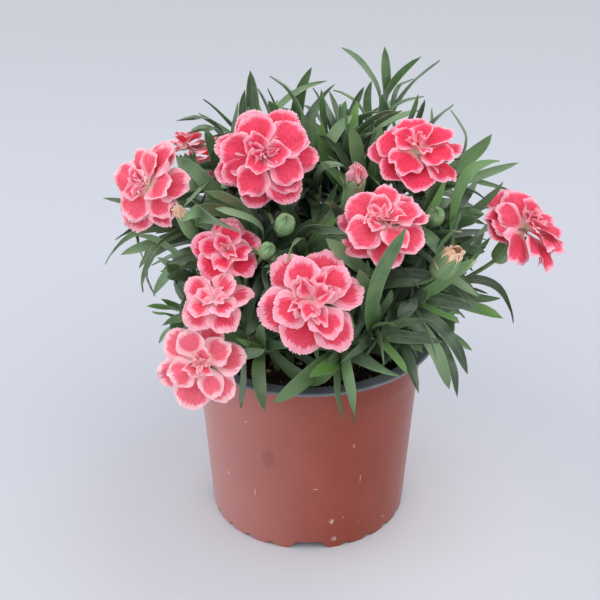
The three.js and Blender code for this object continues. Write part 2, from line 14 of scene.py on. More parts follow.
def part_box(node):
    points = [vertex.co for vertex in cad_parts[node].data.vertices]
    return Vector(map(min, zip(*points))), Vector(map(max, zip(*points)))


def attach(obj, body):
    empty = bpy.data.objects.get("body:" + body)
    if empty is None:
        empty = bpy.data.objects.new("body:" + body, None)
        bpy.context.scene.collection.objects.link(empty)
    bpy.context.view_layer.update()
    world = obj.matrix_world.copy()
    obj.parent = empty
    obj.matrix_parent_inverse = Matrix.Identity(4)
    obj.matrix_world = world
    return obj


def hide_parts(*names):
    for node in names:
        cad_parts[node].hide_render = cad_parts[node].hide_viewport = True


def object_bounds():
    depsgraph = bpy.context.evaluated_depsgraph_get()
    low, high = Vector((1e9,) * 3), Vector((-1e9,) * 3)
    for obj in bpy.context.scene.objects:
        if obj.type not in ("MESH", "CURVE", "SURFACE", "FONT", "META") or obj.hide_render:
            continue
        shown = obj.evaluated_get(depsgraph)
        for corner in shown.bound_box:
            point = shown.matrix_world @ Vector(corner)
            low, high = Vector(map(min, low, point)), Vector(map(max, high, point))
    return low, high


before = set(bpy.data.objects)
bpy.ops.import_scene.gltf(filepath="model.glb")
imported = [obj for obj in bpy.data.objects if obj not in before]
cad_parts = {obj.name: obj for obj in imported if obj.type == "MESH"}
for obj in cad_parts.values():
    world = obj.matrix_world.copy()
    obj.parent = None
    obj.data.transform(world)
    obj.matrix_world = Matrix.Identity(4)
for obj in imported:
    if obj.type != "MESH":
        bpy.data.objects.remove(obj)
cad_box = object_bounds()

# ---------------------------------------------------------------- nursery pot
# A round tapered pot, vacuum-formed from one thin sheet of plastic that is terracotta outside and
# grey inside and on the rim. Its flat rim has a short skirt, a low step runs round the wall, and the
# foot ring is scalloped, with four water notches and six drain holes in the raised floor.

MM = 0.001
POT_HEIGHT = 95
RIM_RADIUS = 60
SKIRT = 1.6
RIM_THICKNESS = 1
WALL = 1.2
FLOOR_LIFT = 4
FOOT_RADIUS = 45.5
WALL_TOP_RADIUS = 52.6
STEP_HEIGHT = 77
STEP_DEPTH = 0.22
POT_SIDES = 480
NOTCHES = {"Notches": 4, "Notch Foot": 19.0, "Notch Top": 11.0, "Notch Height": 4.0}
SCALLOPS = {"Scallops": 24, "Scallop Foot": 5.5, "Scallop Top": 2.2, "Scallop Height": 1.7}
DRAINS = {"Drains": 6, "Drain Radius": 4.5, "Drain Circle": 27.0}
CLEAR_OF_NOTCH = math.radians(15)
UNROLLED_RADIUS = 50.0

# Where the wall is scuffed: the bearing from the front in radians, the height, and how wide and tall each
# mark is.
SCUFFS = [
    (0.23, 16, 4.2, 4.2), (0.26, 5, 3.6, 3.6), (-0.88, 33, 2, 2.8), (-0.59, 69, 1.6, 1.6), (0.86, 8, 2, 2.4),
    (0.07, 36, 3.6, 1.1), (0.42, 58, 1.2, 3.4), (0.51, 38, 0.8, 6), (-0.54, 29, 1.2, 5),
]  # fmt: skip
# Where the wall is stained: how far round it from the front, and the height.
STAIN = Vector((-19, 51, 0))

low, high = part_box("pot")
POT_AXIS = Vector(((low.x + high.x) / 2, (low.y + high.y) / 2, 0))
TO_FRAME = Matrix.Translation(POT_AXIS) @ Matrix.Scale(MM, 4)


class Wire:
    """One output of a node. Sums on it add Math nodes, or Vector Math nodes where a side is a vector."""

    def __init__(self, socket):
        self.socket = socket

    @staticmethod
    def node(tree, kind, settings=None, sockets=None, out=0):
        """Adds a node to a tree: its settings first, then its sockets' values or wires."""
        made = tree.nodes.new(kind)
        for key, value in (settings or {}).items():
            setattr(made, key, value)
        for key, value in (sockets or {}).items():
            socket = made.inputs[key]
            if isinstance(value, Wire):
                tree.links.new(value.socket, socket)
            elif hasattr(socket.default_value, "__len__") and isinstance(value, (int, float)):
                socket.default_value = [value] * len(socket.default_value)
            else:
                socket.default_value = value
        return Wire(made.outputs[out])

    def sum(self, operation, *others, first=None):
        """The wire of one Math node. A value given as first goes before this one."""
        terms = [self, *others] if first is None else [first, self]
        vector = any(
            isinstance(t, Vector) or (isinstance(t, Wire) and t.socket.type == "VECTOR") for t in terms
        )
        kind = "ShaderNodeVectorMath" if vector else "ShaderNodeMath"
        out = 1 if operation in ("DOT_PRODUCT", "LENGTH", "DISTANCE") else 0
        return Wire.node(self.socket.id_data, kind, {"operation": operation}, dict(enumerate(terms)), out)

    def __add__(self, other):
        return self.sum("ADD", other)

    def __radd__(self, other):
        return self.sum("ADD", other)

    def __sub__(self, other):
        return self.sum("SUBTRACT", other)

    def __rsub__(self, other):
        return self.sum("SUBTRACT", first=other)

    def __mul__(self, other):
        return self.sum("MULTIPLY", other)

    def __rmul__(self, other):
        return self.sum("MULTIPLY", other)

    def __truediv__(self, other):
        return self.sum("DIVIDE", other)

    def __pow__(self, other):
        return self.sum("POWER", other)

    def __neg__(self):
        return self.sum("MULTIPLY", -1.0)

    def __abs__(self):
        return self.sum("ABSOLUTE")

    def __gt__(self, other):
        return self.sum("GREATER_THAN", other)

    def __lt__(self, other):
        return self.sum("LESS_THAN", other)

    def clamped(self):
        return self.sum("MAXIMUM", 0.0).sum("MINIMUM", 1.0)

    def smooth(self, start, end):
        """0 up to start, 1 from end on, and a soft step between them."""
        sockets = {"Value": self, "From Min": start, "From Max": end}
        return Wire.node(
            self.socket.id_data, "ShaderNodeMapRange", {"interpolation_type": "SMOOTHSTEP"}, sockets
        )


def part(wire, axis):
    """One of the x, y and z of a vector."""
    return Wire.node(wire.socket.id_data, "ShaderNodeSeparateXYZ", None, {0: wire}, "XYZ".index(axis))


def blend(share, a, b):
    """The colour a where share is 0, and b where it is 1."""
    return Wire.node(share.socket.id_data, "ShaderNodeMix", {"data_type": "RGBA"}, {0: share, 6: a, 7: b}, 2)


def coated(colour, *coats):
    """A colour under some coats. Each coat is the share that it covers, and its own colour."""
    for share, coat in coats:
        colour = blend(share, colour, coat)
    return colour


def rgb(red, green, blue):
    """A colour from its screen values of 0 to 255."""
    linear = [((c / 255 + 0.055) / 1.055) ** 2.4 if c > 10 else c / 255 / 12.92 for c in (red, green, blue)]
    return (*linear, 1)


class Finish:
    """A material on one Principled shader. Plain values go in at once, and varied ones are wired."""

    def __init__(self, name, **plain):
        self.material = bpy.data.materials.new(name)
        self.material.use_nodes = True
        self.tree = self.material.node_tree
        self.shader = self.tree.nodes["Principled BSDF"]
        for socket, value in plain.items():
            self.shader.inputs[socket.replace("_", " ")].default_value = value

    def node(self, kind, settings=None, sockets=None, out=0):
        return Wire.node(self.tree, kind, settings, sockets, out)

    def place(self):
        """The point in millimetres from the pot's axis."""
        spot = self.node("ShaderNodeTexCoord", out="Object")
        return (spot - POT_AXIS) * (1 / MM)

    def attribute(self, name):
        return self.node("ShaderNodeAttribute", {"attribute_name": name}, None, "Vector")

    def noise(self, spot, scale, detail=3.0, roughness=0.5):
        sockets = {"Vector": spot, "Scale": scale, "Detail": detail, "Roughness": roughness}
        return self.node("ShaderNodeTexNoise", None, sockets)

    def wire(self, socket, value):
        self.tree.links.new(value.socket, self.shader.inputs[socket])

    def relief(self, height, depth_mm):
        """Bumps the surface by a height of 0 to 1, which stands for so many millimetres."""
        sockets = {"Height": height, "Distance": depth_mm * MM, "Strength": 1.0}
        self.wire("Normal", self.node("ShaderNodeBump", None, sockets))


def new_tree(name, **sizes):
    """A Geometry Nodes tree with its mesh input and named sizes. Returns the tree and their wires."""
    tree = bpy.data.node_groups.new(name, "GeometryNodeTree")
    tree.interface.new_socket("Geometry", in_out="OUTPUT", socket_type="NodeSocketGeometry")
    tree.interface.new_socket("Geometry", in_out="INPUT", socket_type="NodeSocketGeometry")
    for size, value in sizes.items():
        kind = "NodeSocketInt" if isinstance(value, int) else "NodeSocketFloat"
        tree.interface.new_socket(size, in_out="INPUT", socket_type=kind).default_value = value
    inputs = tree.nodes.new("NodeGroupInput")
    return tree, {socket.name: Wire(socket) for socket in inputs.outputs if socket.name}


def end_tree(tree, geometry, material, sharp_deg=40.0):
    """Realizes the geometry, shades it smooth up to an edge angle, and gives it its material."""
    solid = Wire.node(tree, "GeometryNodeRealizeInstances", None, {"Geometry": geometry})
    angle = Wire.node(tree, "GeometryNodeInputMeshEdgeAngle", None, None, "Unsigned Angle")
    smooth = Wire.node(tree, "GeometryNodeSetShadeSmooth", {"domain": "FACE"}, {"Geometry": solid})
    creased = Wire.node(
        tree,
        "GeometryNodeSetShadeSmooth",
        {"domain": "EDGE"},
        {"Geometry": smooth, "Shade Smooth": angle < math.radians(sharp_deg)},
    )
    finished = Wire.node(
        tree, "GeometryNodeSetMaterial", None, {"Geometry": creased, "Material": material}
    )
    output = tree.nodes.new("NodeGroupOutput")
    tree.links.new(finished.socket, output.inputs[0])


def grown(name, mesh, tree, **sizes):
    """The plain mesh object that a tree makes from a mesh of points, edges or faces."""
    piece = bpy.data.objects.new(name, mesh)
    bpy.context.scene.collection.objects.link(piece)
    modifier = piece.modifiers.new("grow", "NODES")
    modifier.node_group = tree
    for item in tree.interface.items_tree:
        if item.in_out == "INPUT" and item.name in sizes:
            modifier[item.identifier] = sizes[item.name]
    graph = bpy.context.evaluated_depsgraph_get()
    made = bpy.data.meshes.new_from_object(
        piece.evaluated_get(graph), preserve_all_data_layers=True, depsgraph=graph
    )
    piece.modifiers.remove(modifier)
    piece.data = made
    bpy.data.meshes.remove(mesh)
    return piece


def settled(piece, slot, *nodes, keep=()):
    """A finished piece: in the frame's metres, with the attributes that its materials read alone."""
    for name in [a.name for a in piece.data.attributes if not (a.is_internal or a.is_required)]:
        if name not in ("sharp_edge", "sharp_face", "material_index", *keep):
            piece.data.attributes.remove(piece.data.attributes[name])
    piece.data.transform(TO_FRAME)
    piece.data.update()
    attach(piece, "root")
    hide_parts(*nodes)
    return piece


def wall_radius(z):
    """The radius of the pot's outside at a height."""
    foot_share = z / (POT_HEIGHT - 2 * WALL)
    return FOOT_RADIUS + (WALL_TOP_RADIUS - FOOT_RADIUS) * foot_share


def arc(centre, radius, start_deg, end_deg, count=5):
    """Points of a rounded corner of the pot's section."""
    angles = np.radians(np.linspace(start_deg, end_deg, count))
    return [(centre[0] + radius * math.cos(a), centre[1] + radius * math.sin(a)) for a in angles]


under_rim = POT_HEIGHT - RIM_THICKNESS
inner_top = WALL_TOP_RADIUS + 0.8
inner_foot = FOOT_RADIUS - 1
pot_section = [
    (0, FLOOR_LIFT),
    (20, FLOOR_LIFT),
    (FOOT_RADIUS - 4.4, FLOOR_LIFT),
    *arc((FOOT_RADIUS - 3.9, FLOOR_LIFT - 0.6), 0.6, 90, 20, 4),
    *arc((FOOT_RADIUS - 2.3, 0.3), 0.3, 190, 270, 4),
    *arc((FOOT_RADIUS - 0.45, 0.45), 0.45, 270, 360, 5),
    *[(wall_radius(z), z) for z in np.linspace(4.2, STEP_HEIGHT - 0.5, 14)],
    (wall_radius(STEP_HEIGHT) + 0.2 * STEP_DEPTH, STEP_HEIGHT - 0.2),
    (wall_radius(STEP_HEIGHT) + 0.8 * STEP_DEPTH, STEP_HEIGHT + 0.2),
    (wall_radius(STEP_HEIGHT) + STEP_DEPTH, STEP_HEIGHT + 0.6),
    (wall_radius(85) + 0.6 * STEP_DEPTH, 85),
    (wall_radius(88), 88),
    (WALL_TOP_RADIUS + 0.9, 91),
    *arc((inner_top + WALL + 1, under_rim - 1), 1, 180, 90, 4),
    (RIM_RADIUS - WALL - 0.5, under_rim),
    (RIM_RADIUS - WALL, under_rim - 0.1),
    *arc((RIM_RADIUS - 0.6, POT_HEIGHT - SKIRT + 0.5), 0.5, 200, 350, 6),
    *arc((RIM_RADIUS - 0.7, POT_HEIGHT - 0.7), 0.7, 0, 90, 6),
    (RIM_RADIUS - 3.5, POT_HEIGHT - 0.15),
    *arc((inner_top + 1, POT_HEIGHT - 1), 1, 90, 180, 5),
    (WALL_TOP_RADIUS - 0.3, 91),
    *[(wall_radius(z) - WALL, z) for z in np.linspace(87.5, 9, 8)],
    *arc((inner_foot - 2.6, FLOOR_LIFT + WALL + 2), 2, 0, -90, 5),
    (20, FLOOR_LIFT + WALL),
    (0, FLOOR_LIFT + WALL),
]
section_mesh = bpy.data.meshes.new("pot_section")
section_mesh.from_pydata([(r, 0, z) for r, z in pot_section], [], [])

terracotta = Finish("terracotta_plastic", Specular_IOR_Level=0.2, Coat_Weight=0.3, Coat_Roughness=0.2)
spot = terracotta.place()
across, depth, height = part(spot, "X"), part(spot, "Y"), part(spot, "Z")
radius = (across * across + depth * depth) ** 0.5
turn = across.sum("ARCTAN2", -depth)
unrolled = terracotta.node("ShaderNodeCombineXYZ", None, {"X": turn * UNROLLED_RADIUS, "Y": height})
flare = (height - 88.0).sum("MAXIMUM", 0.0) * 0.33
taper = (WALL_TOP_RADIUS - FOOT_RADIUS) / (POT_HEIGHT - 2 * WALL)
outer = radius - flare - (height * taper + FOOT_RADIUS)
outside = outer.smooth(-0.75, -0.55) * (height < POT_HEIGHT - SKIRT - 0.4)
# The wall has a painted sheen on its left and painted shade on its right, more of it high up under the rim. It
# is rubbed and scratched all over, with a few pale flecks and scuffs and one dark stain.
cloudy = terracotta.noise(unrolled, 0.035, 4.0)
# Painted sheen: the left side of the wall is paler, as if lit from that side.
painted_sheen_left = turn.smooth(0.5, -1.2) * turn.smooth(-3.1, -2.2)
# Painted shade: the right side of the wall is darker, and more so near the rim under the leaves.
painted_shade_right = turn.smooth(-0.3, 0.6) * turn.smooth(3.1, 2.0) * (height.smooth(66, 88) * 0.3 + 0.3)
rubbed_spot = unrolled * Vector((0.5, 0.16, 1))
rubbed = terracotta.noise(rubbed_spot, 0.9, 6.0, 0.7).smooth(0.66, 0.8)
scratches = terracotta.noise(unrolled * Vector((2.6, 0.1, 1)), 0.8, 3.0, 0.6).smooth(0.68, 0.74)
flecks = terracotta.node(
    "ShaderNodeTexVoronoi", None, {"Vector": unrolled * Vector((1, 0.6, 1)), "Scale": 0.11}
)
fleck_edge = terracotta.noise(unrolled, 1.6, 3.0)
scuffs = (flecks + fleck_edge * 0.09).smooth(0.1, 0.05)
broken = terracotta.noise(unrolled, 0.9, 5.0, 0.7)
for scuff_turn, scuff_height, wide, tall in SCUFFS:
    mark = Vector((scuff_turn * UNROLLED_RADIUS, scuff_height, 0))
    from_mark = (unrolled - mark) * Vector((1 / wide, 1 / tall, 1))
    scuffs = scuffs.sum("MAXIMUM", (from_mark.sum("LENGTH") + broken * 1.6).smooth(1.22, 0.9))
stain = ((unrolled - STAIN) * Vector((0.2, 0.13, 0))).sum("LENGTH")
stain = stain + terracotta.noise(unrolled, 0.15, 3.0)
clay = coated(
    blend(cloudy.smooth(0.3, 0.7), rgb(148, 68, 51), rgb(157, 76, 59)),
    (painted_sheen_left * 0.42, rgb(206, 158, 154)),
    (painted_shade_right, rgb(118, 46, 31)),
    (rubbed * 0.3, rgb(196, 140, 128)),
    (scratches * 0.3, rgb(206, 160, 148)),
    (scuffs * 0.6, rgb(222, 196, 186)),
    (stain.smooth(1.4, 0.8) * 0.3, rgb(100, 58, 62)),
)
grey = blend(cloudy.smooth(0.35, 0.65), rgb(104, 107, 110), rgb(124, 127, 130))
terracotta.wire("Base Color", blend(outside, grey, clay))
terracotta.wire("Roughness", cloudy * 0.12 + 0.3 + rubbed * 0.15 + scuffs * 0.2)
waves = terracotta.noise(unrolled * Vector((1, 0.25, 1)), 0.06, 2.0) + terracotta.noise(spot, 2.4, 2.0) * 0.02
terracotta.relief(waves, 0.3)

pot_tree, pot = new_tree(
    "turned_pot", Sides=POT_SIDES, Rows=len(pot_section), **{"Foot Radius": FOOT_RADIUS}, **NOTCHES,
    **SCALLOPS, **DRAINS,
)
sheet = Wire.node(
    pot_tree, "GeometryNodeMeshGrid", None, {"Vertices X": pot["Sides"] + 1, "Vertices Y": pot["Rows"]}
)
index = Wire.node(pot_tree, "GeometryNodeInputIndex")
column = (index / pot["Rows"]).sum("FLOOR")
section_spot = Wire.node(
    pot_tree,
    "GeometryNodeSampleIndex",
    {"data_type": "FLOAT_VECTOR"},
    {
        "Geometry": pot["Geometry"],
        "Value": Wire.node(pot_tree, "GeometryNodeInputPosition"),
        "Index": index - column * pot["Rows"],
    },
)
bearing = column / pot["Sides"] * (2 * math.pi)
out, rise = part(section_spot, "X"), part(section_spot, "Z")


def foot_cuts(kind, count, shift):
    """How high the foot ring is cut away at a bearing, and how far that is from the nearest cut."""
    pitch = (pot[count] * 1.0).sum("DIVIDE", first=2 * math.pi)
    off = abs((bearing + pitch * shift).sum("FLOORED_MODULO", pitch) - pitch / 2)
    foot, top = pot[kind + " Foot"], pot[kind + " Top"]
    beside = foot / 2 - off * pot["Foot Radius"]
    return (beside / ((foot - top) / 2)).clamped() * pot[kind + " Height"], off


notch, off_notch = foot_cuts("Notch", "Notches", 0.5)
scallop, _ = foot_cuts("Scallop", "Scallops", 0.0)
cut = notch.sum("MAXIMUM", scallop * (off_notch > CLEAR_OF_NOTCH))
round_spot = Wire.node(
    pot_tree,
    "ShaderNodeCombineXYZ",
    None,
    {"X": out * bearing.sum("COSINE"), "Y": out * bearing.sum("SINE"), "Z": rise.sum("MAXIMUM", cut)},
)
body = Wire.node(pot_tree, "GeometryNodeSetPosition", None, {"Geometry": sheet, "Position": round_spot})
body = Wire.node(pot_tree, "GeometryNodeMergeByDistance", None, {"Geometry": body, "Distance": 0.001})
ring = Wire.node(
    pot_tree, "GeometryNodeMeshCircle", None, {"Vertices": pot["Drains"], "Radius": pot["Drain Circle"]}
)
drill = Wire.node(
    pot_tree,
    "GeometryNodeMeshCylinder",
    None,
    {"Vertices": 24, "Radius": pot["Drain Radius"], "Depth": 4 * WALL},
)
drills = Wire.node(pot_tree, "GeometryNodeInstanceOnPoints", None, {"Points": ring, "Instance": drill})
half_pitch = Vector((0, 0, math.pi / DRAINS["Drains"]))
drills = Wire.node(
    pot_tree,
    "GeometryNodeTransform",
    None,
    {"Geometry": drills, "Translation": (0, 0, FLOOR_LIFT + WALL / 2), "Rotation": half_pitch},
)
drills = Wire.node(pot_tree, "GeometryNodeRealizeInstances", None, {"Geometry": drills})
drilled = Wire.node(
    pot_tree, "GeometryNodeMeshBoolean", {"operation": "DIFFERENCE"}, {"Mesh 1": body, "Mesh 2": drills}
)
end_tree(pot_tree, drilled, terracotta.material, 32)
settled(grown("nursery_pot", section_mesh, pot_tree), "pot", "pot")

# ---------------------------------------------------------------- compost
# Dark peat-based compost that fills the pot to 8.5 mm below its rim. Its top is a loose layer of peat
# crumbs and short fibres, with some yellowish bark bits and a little white perlite.

SOIL_TOP = POT_HEIGHT - 8.5
SOIL_FLOOR = FLOOR_LIFT + WALL + 0.4
SOIL_RADIUS = wall_radius(SOIL_TOP) - WALL - 0.25
CRUMBS_PER_MM2 = 0.16
BED_RINGS = 30
BED_SIDES = 90

peat = Finish("peat_compost", Roughness=0.95, Specular_IOR_Level=0.15)
grain = peat.noise(peat.place(), 0.9, 6.0, 0.7)
kind_of_bit = part(peat.attribute("bit"), "X")
peat_tone = coated(
    blend(grain.smooth(0.3, 0.7), rgb(24, 18, 13), rgb(70, 55, 40)),
    (kind_of_bit > 0.8, rgb(122, 98, 58)),
    (kind_of_bit > 0.93, rgb(168, 150, 96)),
    (kind_of_bit > 0.978, rgb(205, 203, 192)),
)
peat.wire("Base Color", peat_tone)
peat.relief(grain, 0.6)

bed_rings = [(share / BED_RINGS * SOIL_RADIUS, SOIL_TOP) for share in np.linspace(1, BED_RINGS, BED_RINGS)]
bed_rings.append((wall_radius(SOIL_FLOOR) - WALL - 0.4, SOIL_FLOOR))
bed_builder = bmesh.new()
previous = None
for r, z in bed_rings:
    bearings = np.linspace(0, 2 * math.pi, BED_SIDES, endpoint=False)
    ring_verts = [bed_builder.verts.new((r * math.cos(a), r * math.sin(a), z)) for a in bearings]
    if previous is None:
        bed_builder.faces.new(ring_verts)
    else:
        for k in range(BED_SIDES):
            bed_builder.faces.new((previous[k - 1], ring_verts[k - 1], ring_verts[k], previous[k]))
    previous = ring_verts
bed_builder.faces.new(previous[::-1])
bed_mesh = bpy.data.meshes.new("compost_bed")
bed_builder.to_mesh(bed_mesh)
bed_builder.free()

compost_tree, compost = new_tree("compost_bed", Lumps=7.0, Density=CRUMBS_PER_MM2, Seed=7)

spot = Wire.node(compost_tree, "GeometryNodeInputPosition")
lumps = Wire.node(compost_tree, "ShaderNodeTexNoise", None, {"Vector": spot, "Scale": 0.16, "Detail": 4.0})
on_top = part(spot, "Z") > SOIL_TOP - 1
rim_fade = (spot * Vector((1, 1, 0))).sum("LENGTH").smooth(SOIL_RADIUS, SOIL_RADIUS - 4)
lumpy = (lumps - 0.5) * compost["Lumps"] * on_top * rim_fade
lift = Wire.node(compost_tree, "ShaderNodeCombineXYZ", None, {"Z": lumpy})
bed = Wire.node(
    compost_tree, "GeometryNodeSetPosition", None, {"Geometry": compost["Geometry"], "Offset": lift}
)
faces_up = part(Wire.node(compost_tree, "GeometryNodeInputNormal"), "Z") > 0.5
scattered = Wire.node(
    compost_tree,
    "GeometryNodeDistributePointsOnFaces",
    None,
    {"Mesh": bed, "Selection": faces_up, "Density": compost["Density"], "Seed": compost["Seed"]},
)
crumb = Wire.node(compost_tree, "GeometryNodeMeshIcoSphere", None, {"Radius": 1.0, "Subdivisions": 2})
crumb_noise = Wire.node(compost_tree, "ShaderNodeTexNoise", None, {"Vector": spot, "Scale": 1.1}, 1)
crumb = Wire.node(
    compost_tree, "GeometryNodeSetPosition", None, {"Geometry": crumb, "Offset": (crumb_noise - 0.5) * 1.3}
)


def drawn(tree, kind, lowest, highest, seed):
    """A random value for each point."""
    slot_at = 2 if kind == "FLOAT" else 0
    sockets = {slot_at: lowest, slot_at + 1: highest, "Seed": seed}
    return Wire.node(
        tree, "FunctionNodeRandomValue", {"data_type": kind}, sockets, 1 if kind == "FLOAT" else 0
    )


rotation = drawn(compost_tree, "FLOAT_VECTOR", (0, 0, 0), (6.3, 6.3, 6.3), 1)
mostly_small = drawn(compost_tree, "FLOAT", 0.0, 1.0, 2) ** 3.0
crumb_size = mostly_small * drawn(compost_tree, "FLOAT_VECTOR", (0.8, 0.8, 0.5), (2.4, 1.4, 0.9), 3) + 0.45
crumbs = Wire.node(
    compost_tree,
    "GeometryNodeInstanceOnPoints",
    None,
    {"Points": scattered, "Instance": crumb, "Rotation": rotation, "Scale": crumb_size},
)
crumbs = Wire.node(
    compost_tree,
    "GeometryNodeStoreNamedAttribute",
    {"data_type": "FLOAT_VECTOR", "domain": "INSTANCE"},
    {"Geometry": crumbs, "Name": "bit", "Value": drawn(compost_tree, "FLOAT", 0.0, 1.0, 4)},
)
crumbs_and_bed = compost_tree.nodes.new("GeometryNodeJoinGeometry")
for wire in (crumbs, bed):
    compost_tree.links.new(wire.socket, crumbs_and_bed.inputs[0])
end_tree(compost_tree, Wire(crumbs_and_bed.outputs[0]), peat.material, 50)
settled(grown("compost", bed_mesh, compost_tree), "soil", "soil", keep=("bit",))

# ---------------------------------------------------------------- where the stems grow
# One dianthus plant of many stems. Flower stems end under their bloom and shoots at their growing tip,
# and each comes up through the compost on the side that it leans to.

SUNK = 6
STRETCHES = 3
# How far apart the stems' feet are, how near and how far from the axis they stand, and how far out a tip
# is whose foot stands furthest. They are pushed apart in small rounds.
CROWN_SPACING = 7.6
CROWN_RADII = (4, 33)
CROWN_REACH = 80
CROWN_ROUNDS = 80
CALYX_LENGTH = 19
CALYX_UNDER = 1.7
FLOWER_STEM_RADIUS = 1.5
SHOOT_RADIUS = 1.9
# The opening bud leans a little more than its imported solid, and its calyx still holds its petals' lower part.
OPENING_SHIFT = Vector((-1.6, 0, 1))
OPENING_FACE = Vector((0.14, -0.2, 0.97)).normalized()
OPENING_HELD = 9
# Each flower's form, the middle of its face, the way that it faces, and how far its petals reach.
FLOWERS = [
    ("full", (-18.8, -36, 197), (0.05, -0.78, 0.63), 22.2),
    ("full", (45.2, -22, 191.5), (0.02, -0.3, 0.95), 21),
    ("full", (31, -56, 175), (-0.1, -0.45, 0.89), 19.8),
    ("open", (94.5, -10, 149), (0.5, -0.22, 0.84), 22.6),
    ("open", (0.8, -78, 152.5), (0.03, -0.8, 0.6), 23.5),
    ("small", (-34, -57, 163), (-0.1, -0.62, 0.78), 15.5),
    ("small", (-39, -70, 147), (-0.15, -0.62, 0.77), 16.5),
    ("open", (-44.7, -77, 121.5), (-0.12, -0.86, 0.5), 19.5),
    ("open", (-68, -14, 172.5), (-0.66, -0.6, 0.45), 21.5),
    ("small", (-56, 24, 172), (-0.2, 0.45, 0.87), 12.5),
    ("open", (34, 74, 143), (0.3, 0.75, 0.59), 21),
    ("open", (-42, 66, 146), (-0.35, 0.72, 0.6), 20),
    ("opening", (20, -37, 180), (-0.05, -0.3, 0.95), 12),
]
SHOOT_TIPS = [
    (33, 24, 180), (46, 16, 176), (14, 24, 176), (-6, 18, 174), (-22, 12, 174), (-38, 8, 166),
    (54, 8, 162), (58, -6, 146), (4, -12, 172), (26, -12, 168), (-50, -12, 150), (-50, -24, 130),
    (-2, -44, 150), (-24, -34, 150), (46, -26, 156), (44, -44, 132), (28, -52, 120), (54, -34, 116),
    (60, -12, 122), (15, -52, 112), (-20, -50, 112), (12, 42, 160), (-22, 34, 158), (42, 34, 148),
    (-50, 24, 142), (54, 20, 126), (-30, 50, 118), (2, 56, 126), (34, 48, 116), (18, 8, 180),
    (64, -22, 142), (-54, -30, 114),
]  # fmt: skip


def mix(a, b, share):
    """What lies at a share of the way from a to b."""
    return a + (b - a) * share


def chance(*keys):
    """A repeatable draw from 0 to 1 for a few whole-number keys."""
    h = 2166136261
    for key in keys:
        h = ((h ^ (key + 977)) * 16777619) & 0xFFFFFFFF
        h ^= h >> 15
        h = (h * 2246822519) & 0xFFFFFFFF
        h ^= h >> 13
    return h / 4294967296


def square(reference, axis):
    """The direction of the reference once it is made square to an axis."""
    return (reference - axis * reference.dot(axis)).normalized()


def turned(u, v, angle):
    """The direction at an angle from u towards v."""
    return u * math.cos(angle) + v * math.sin(angle)


def bezier(a, b, c, d, t):
    """A point of the curve from a to d that b and c draw towards themselves."""
    return a * (1 - t) ** 3 + b * (3 * t * (1 - t) ** 2) + c * (3 * t * t * (1 - t)) + d * t**3


UP = Vector((0, 0, 1))
flowers = [
    SimpleNamespace(form=form, eye=Vector(eye), face=Vector(face).normalized(), reach=reach)
    for form, eye, face, reach in FLOWERS
]


def calyx_base(flower):
    """Where the flower's stem ends and its calyx begins."""
    return flower.eye - flower.face * (CALYX_UNDER + CALYX_LENGTH)


def shoot_heading(tip):
    """The way that a shoot grows at its tip: upright in the middle, and outwards at the sides."""
    out = min(1, math.hypot(tip.x, tip.y) / CROWN_REACH)
    return Vector((tip.x / 60, tip.y / 60, mix(1.25, 0.35, out))).normalized()


ends = [(calyx_base(f) + f.face, f.face, f) for f in flowers]
ends += [(Vector(tip), shoot_heading(Vector(tip)), None) for tip in SHOOT_TIPS]
feet = []
for i, (tip, _, _) in enumerate(ends):
    lean = min(1, math.hypot(tip.x, tip.y) / CROWN_REACH)
    foot_bearing = math.atan2(tip.y, tip.x) + 0.15 * (chance(i, 7) - 0.5)
    outward = mix(*CROWN_RADII, lean)
    feet.append(np.array([outward * math.cos(foot_bearing), outward * math.sin(foot_bearing)]))
for _ in range(CROWN_ROUNDS):
    for i in range(len(feet)):
        for j in range(i):
            apart = feet[i] - feet[j]
            distance = max(0.01, math.hypot(*apart))
            if distance < CROWN_SPACING:
                push = apart * 0.25 * (CROWN_SPACING - distance) / distance
                feet[i] = feet[i] + push
                feet[j] = feet[j] - push


def new_stem(index, tip, heading, flower):
    """A stem's path from the compost to its tip, in three nearly straight stretches."""
    x, y = feet[index]
    ground = Vector((x, y, SOIL_TOP + 1))
    span = (ground - tip).length
    lean = Vector((tip.x - x, tip.y - y, 0)).normalized()
    bow = (ground, ground + UP * 0.36 * span, tip - heading * 0.34 * span, tip)
    kind, number = ("flower_stem", index + 1) if flower else ("leafy_shoot", index + 1 - len(flowers))
    return SimpleNamespace(
        index=index,
        node="%s_%02d" % (kind, number),
        flower=flower,
        bow=bow,
        knots=[bezier(*bow, k / STRETCHES) for k in range(STRETCHES + 1)],
        reference=UP.cross(lean),
        turn=0.9 * (chance(index, 5) - 0.5),
        radius=FLOWER_STEM_RADIUS if flower else SHOOT_RADIUS,
        pairs=1 if flower else 3,
        reaches=(0.5, 0.5) if flower else (0.48, 0.985),
        size=0.7 if flower else mix(0.86, 1.06, chance(index, 3)),
    )


stems = [new_stem(i, *end) for i, end in enumerate(ends)]
for flower in flowers:
    flower.heart, flower.axis, flower.seat = flower.eye, flower.face, calyx_base(flower)
    if flower.form == "opening":
        flower.heart, flower.axis = flower.eye + OPENING_SHIFT, OPENING_FACE
        flower.seat = flower.heart - flower.axis * (CALYX_LENGTH - OPENING_HELD)


def on_stem(stem, t):
    """A point of the stem at a share of its length, and the direction of that stretch."""
    stretch = min(STRETCHES - 1, math.floor(t * STRETCHES))
    start, end = stem.knots[stretch], stem.knots[stretch + 1]
    return start.lerp(end, t * STRETCHES - stretch), (end - start).normalized()


# ---------------------------------------------------------------- leaves
# Narrow pointed leaves in crossed pairs, keeled and a little channelled, with a waxy grey-green bloom.
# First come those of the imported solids, then long ones that arch out of the mass, then a tuft of fresh
# young ones at each shoot's tip, and last the many between them, wherever there is room.

LEAF_LENGTH = 46
LEAF_WIDTH = 7.4
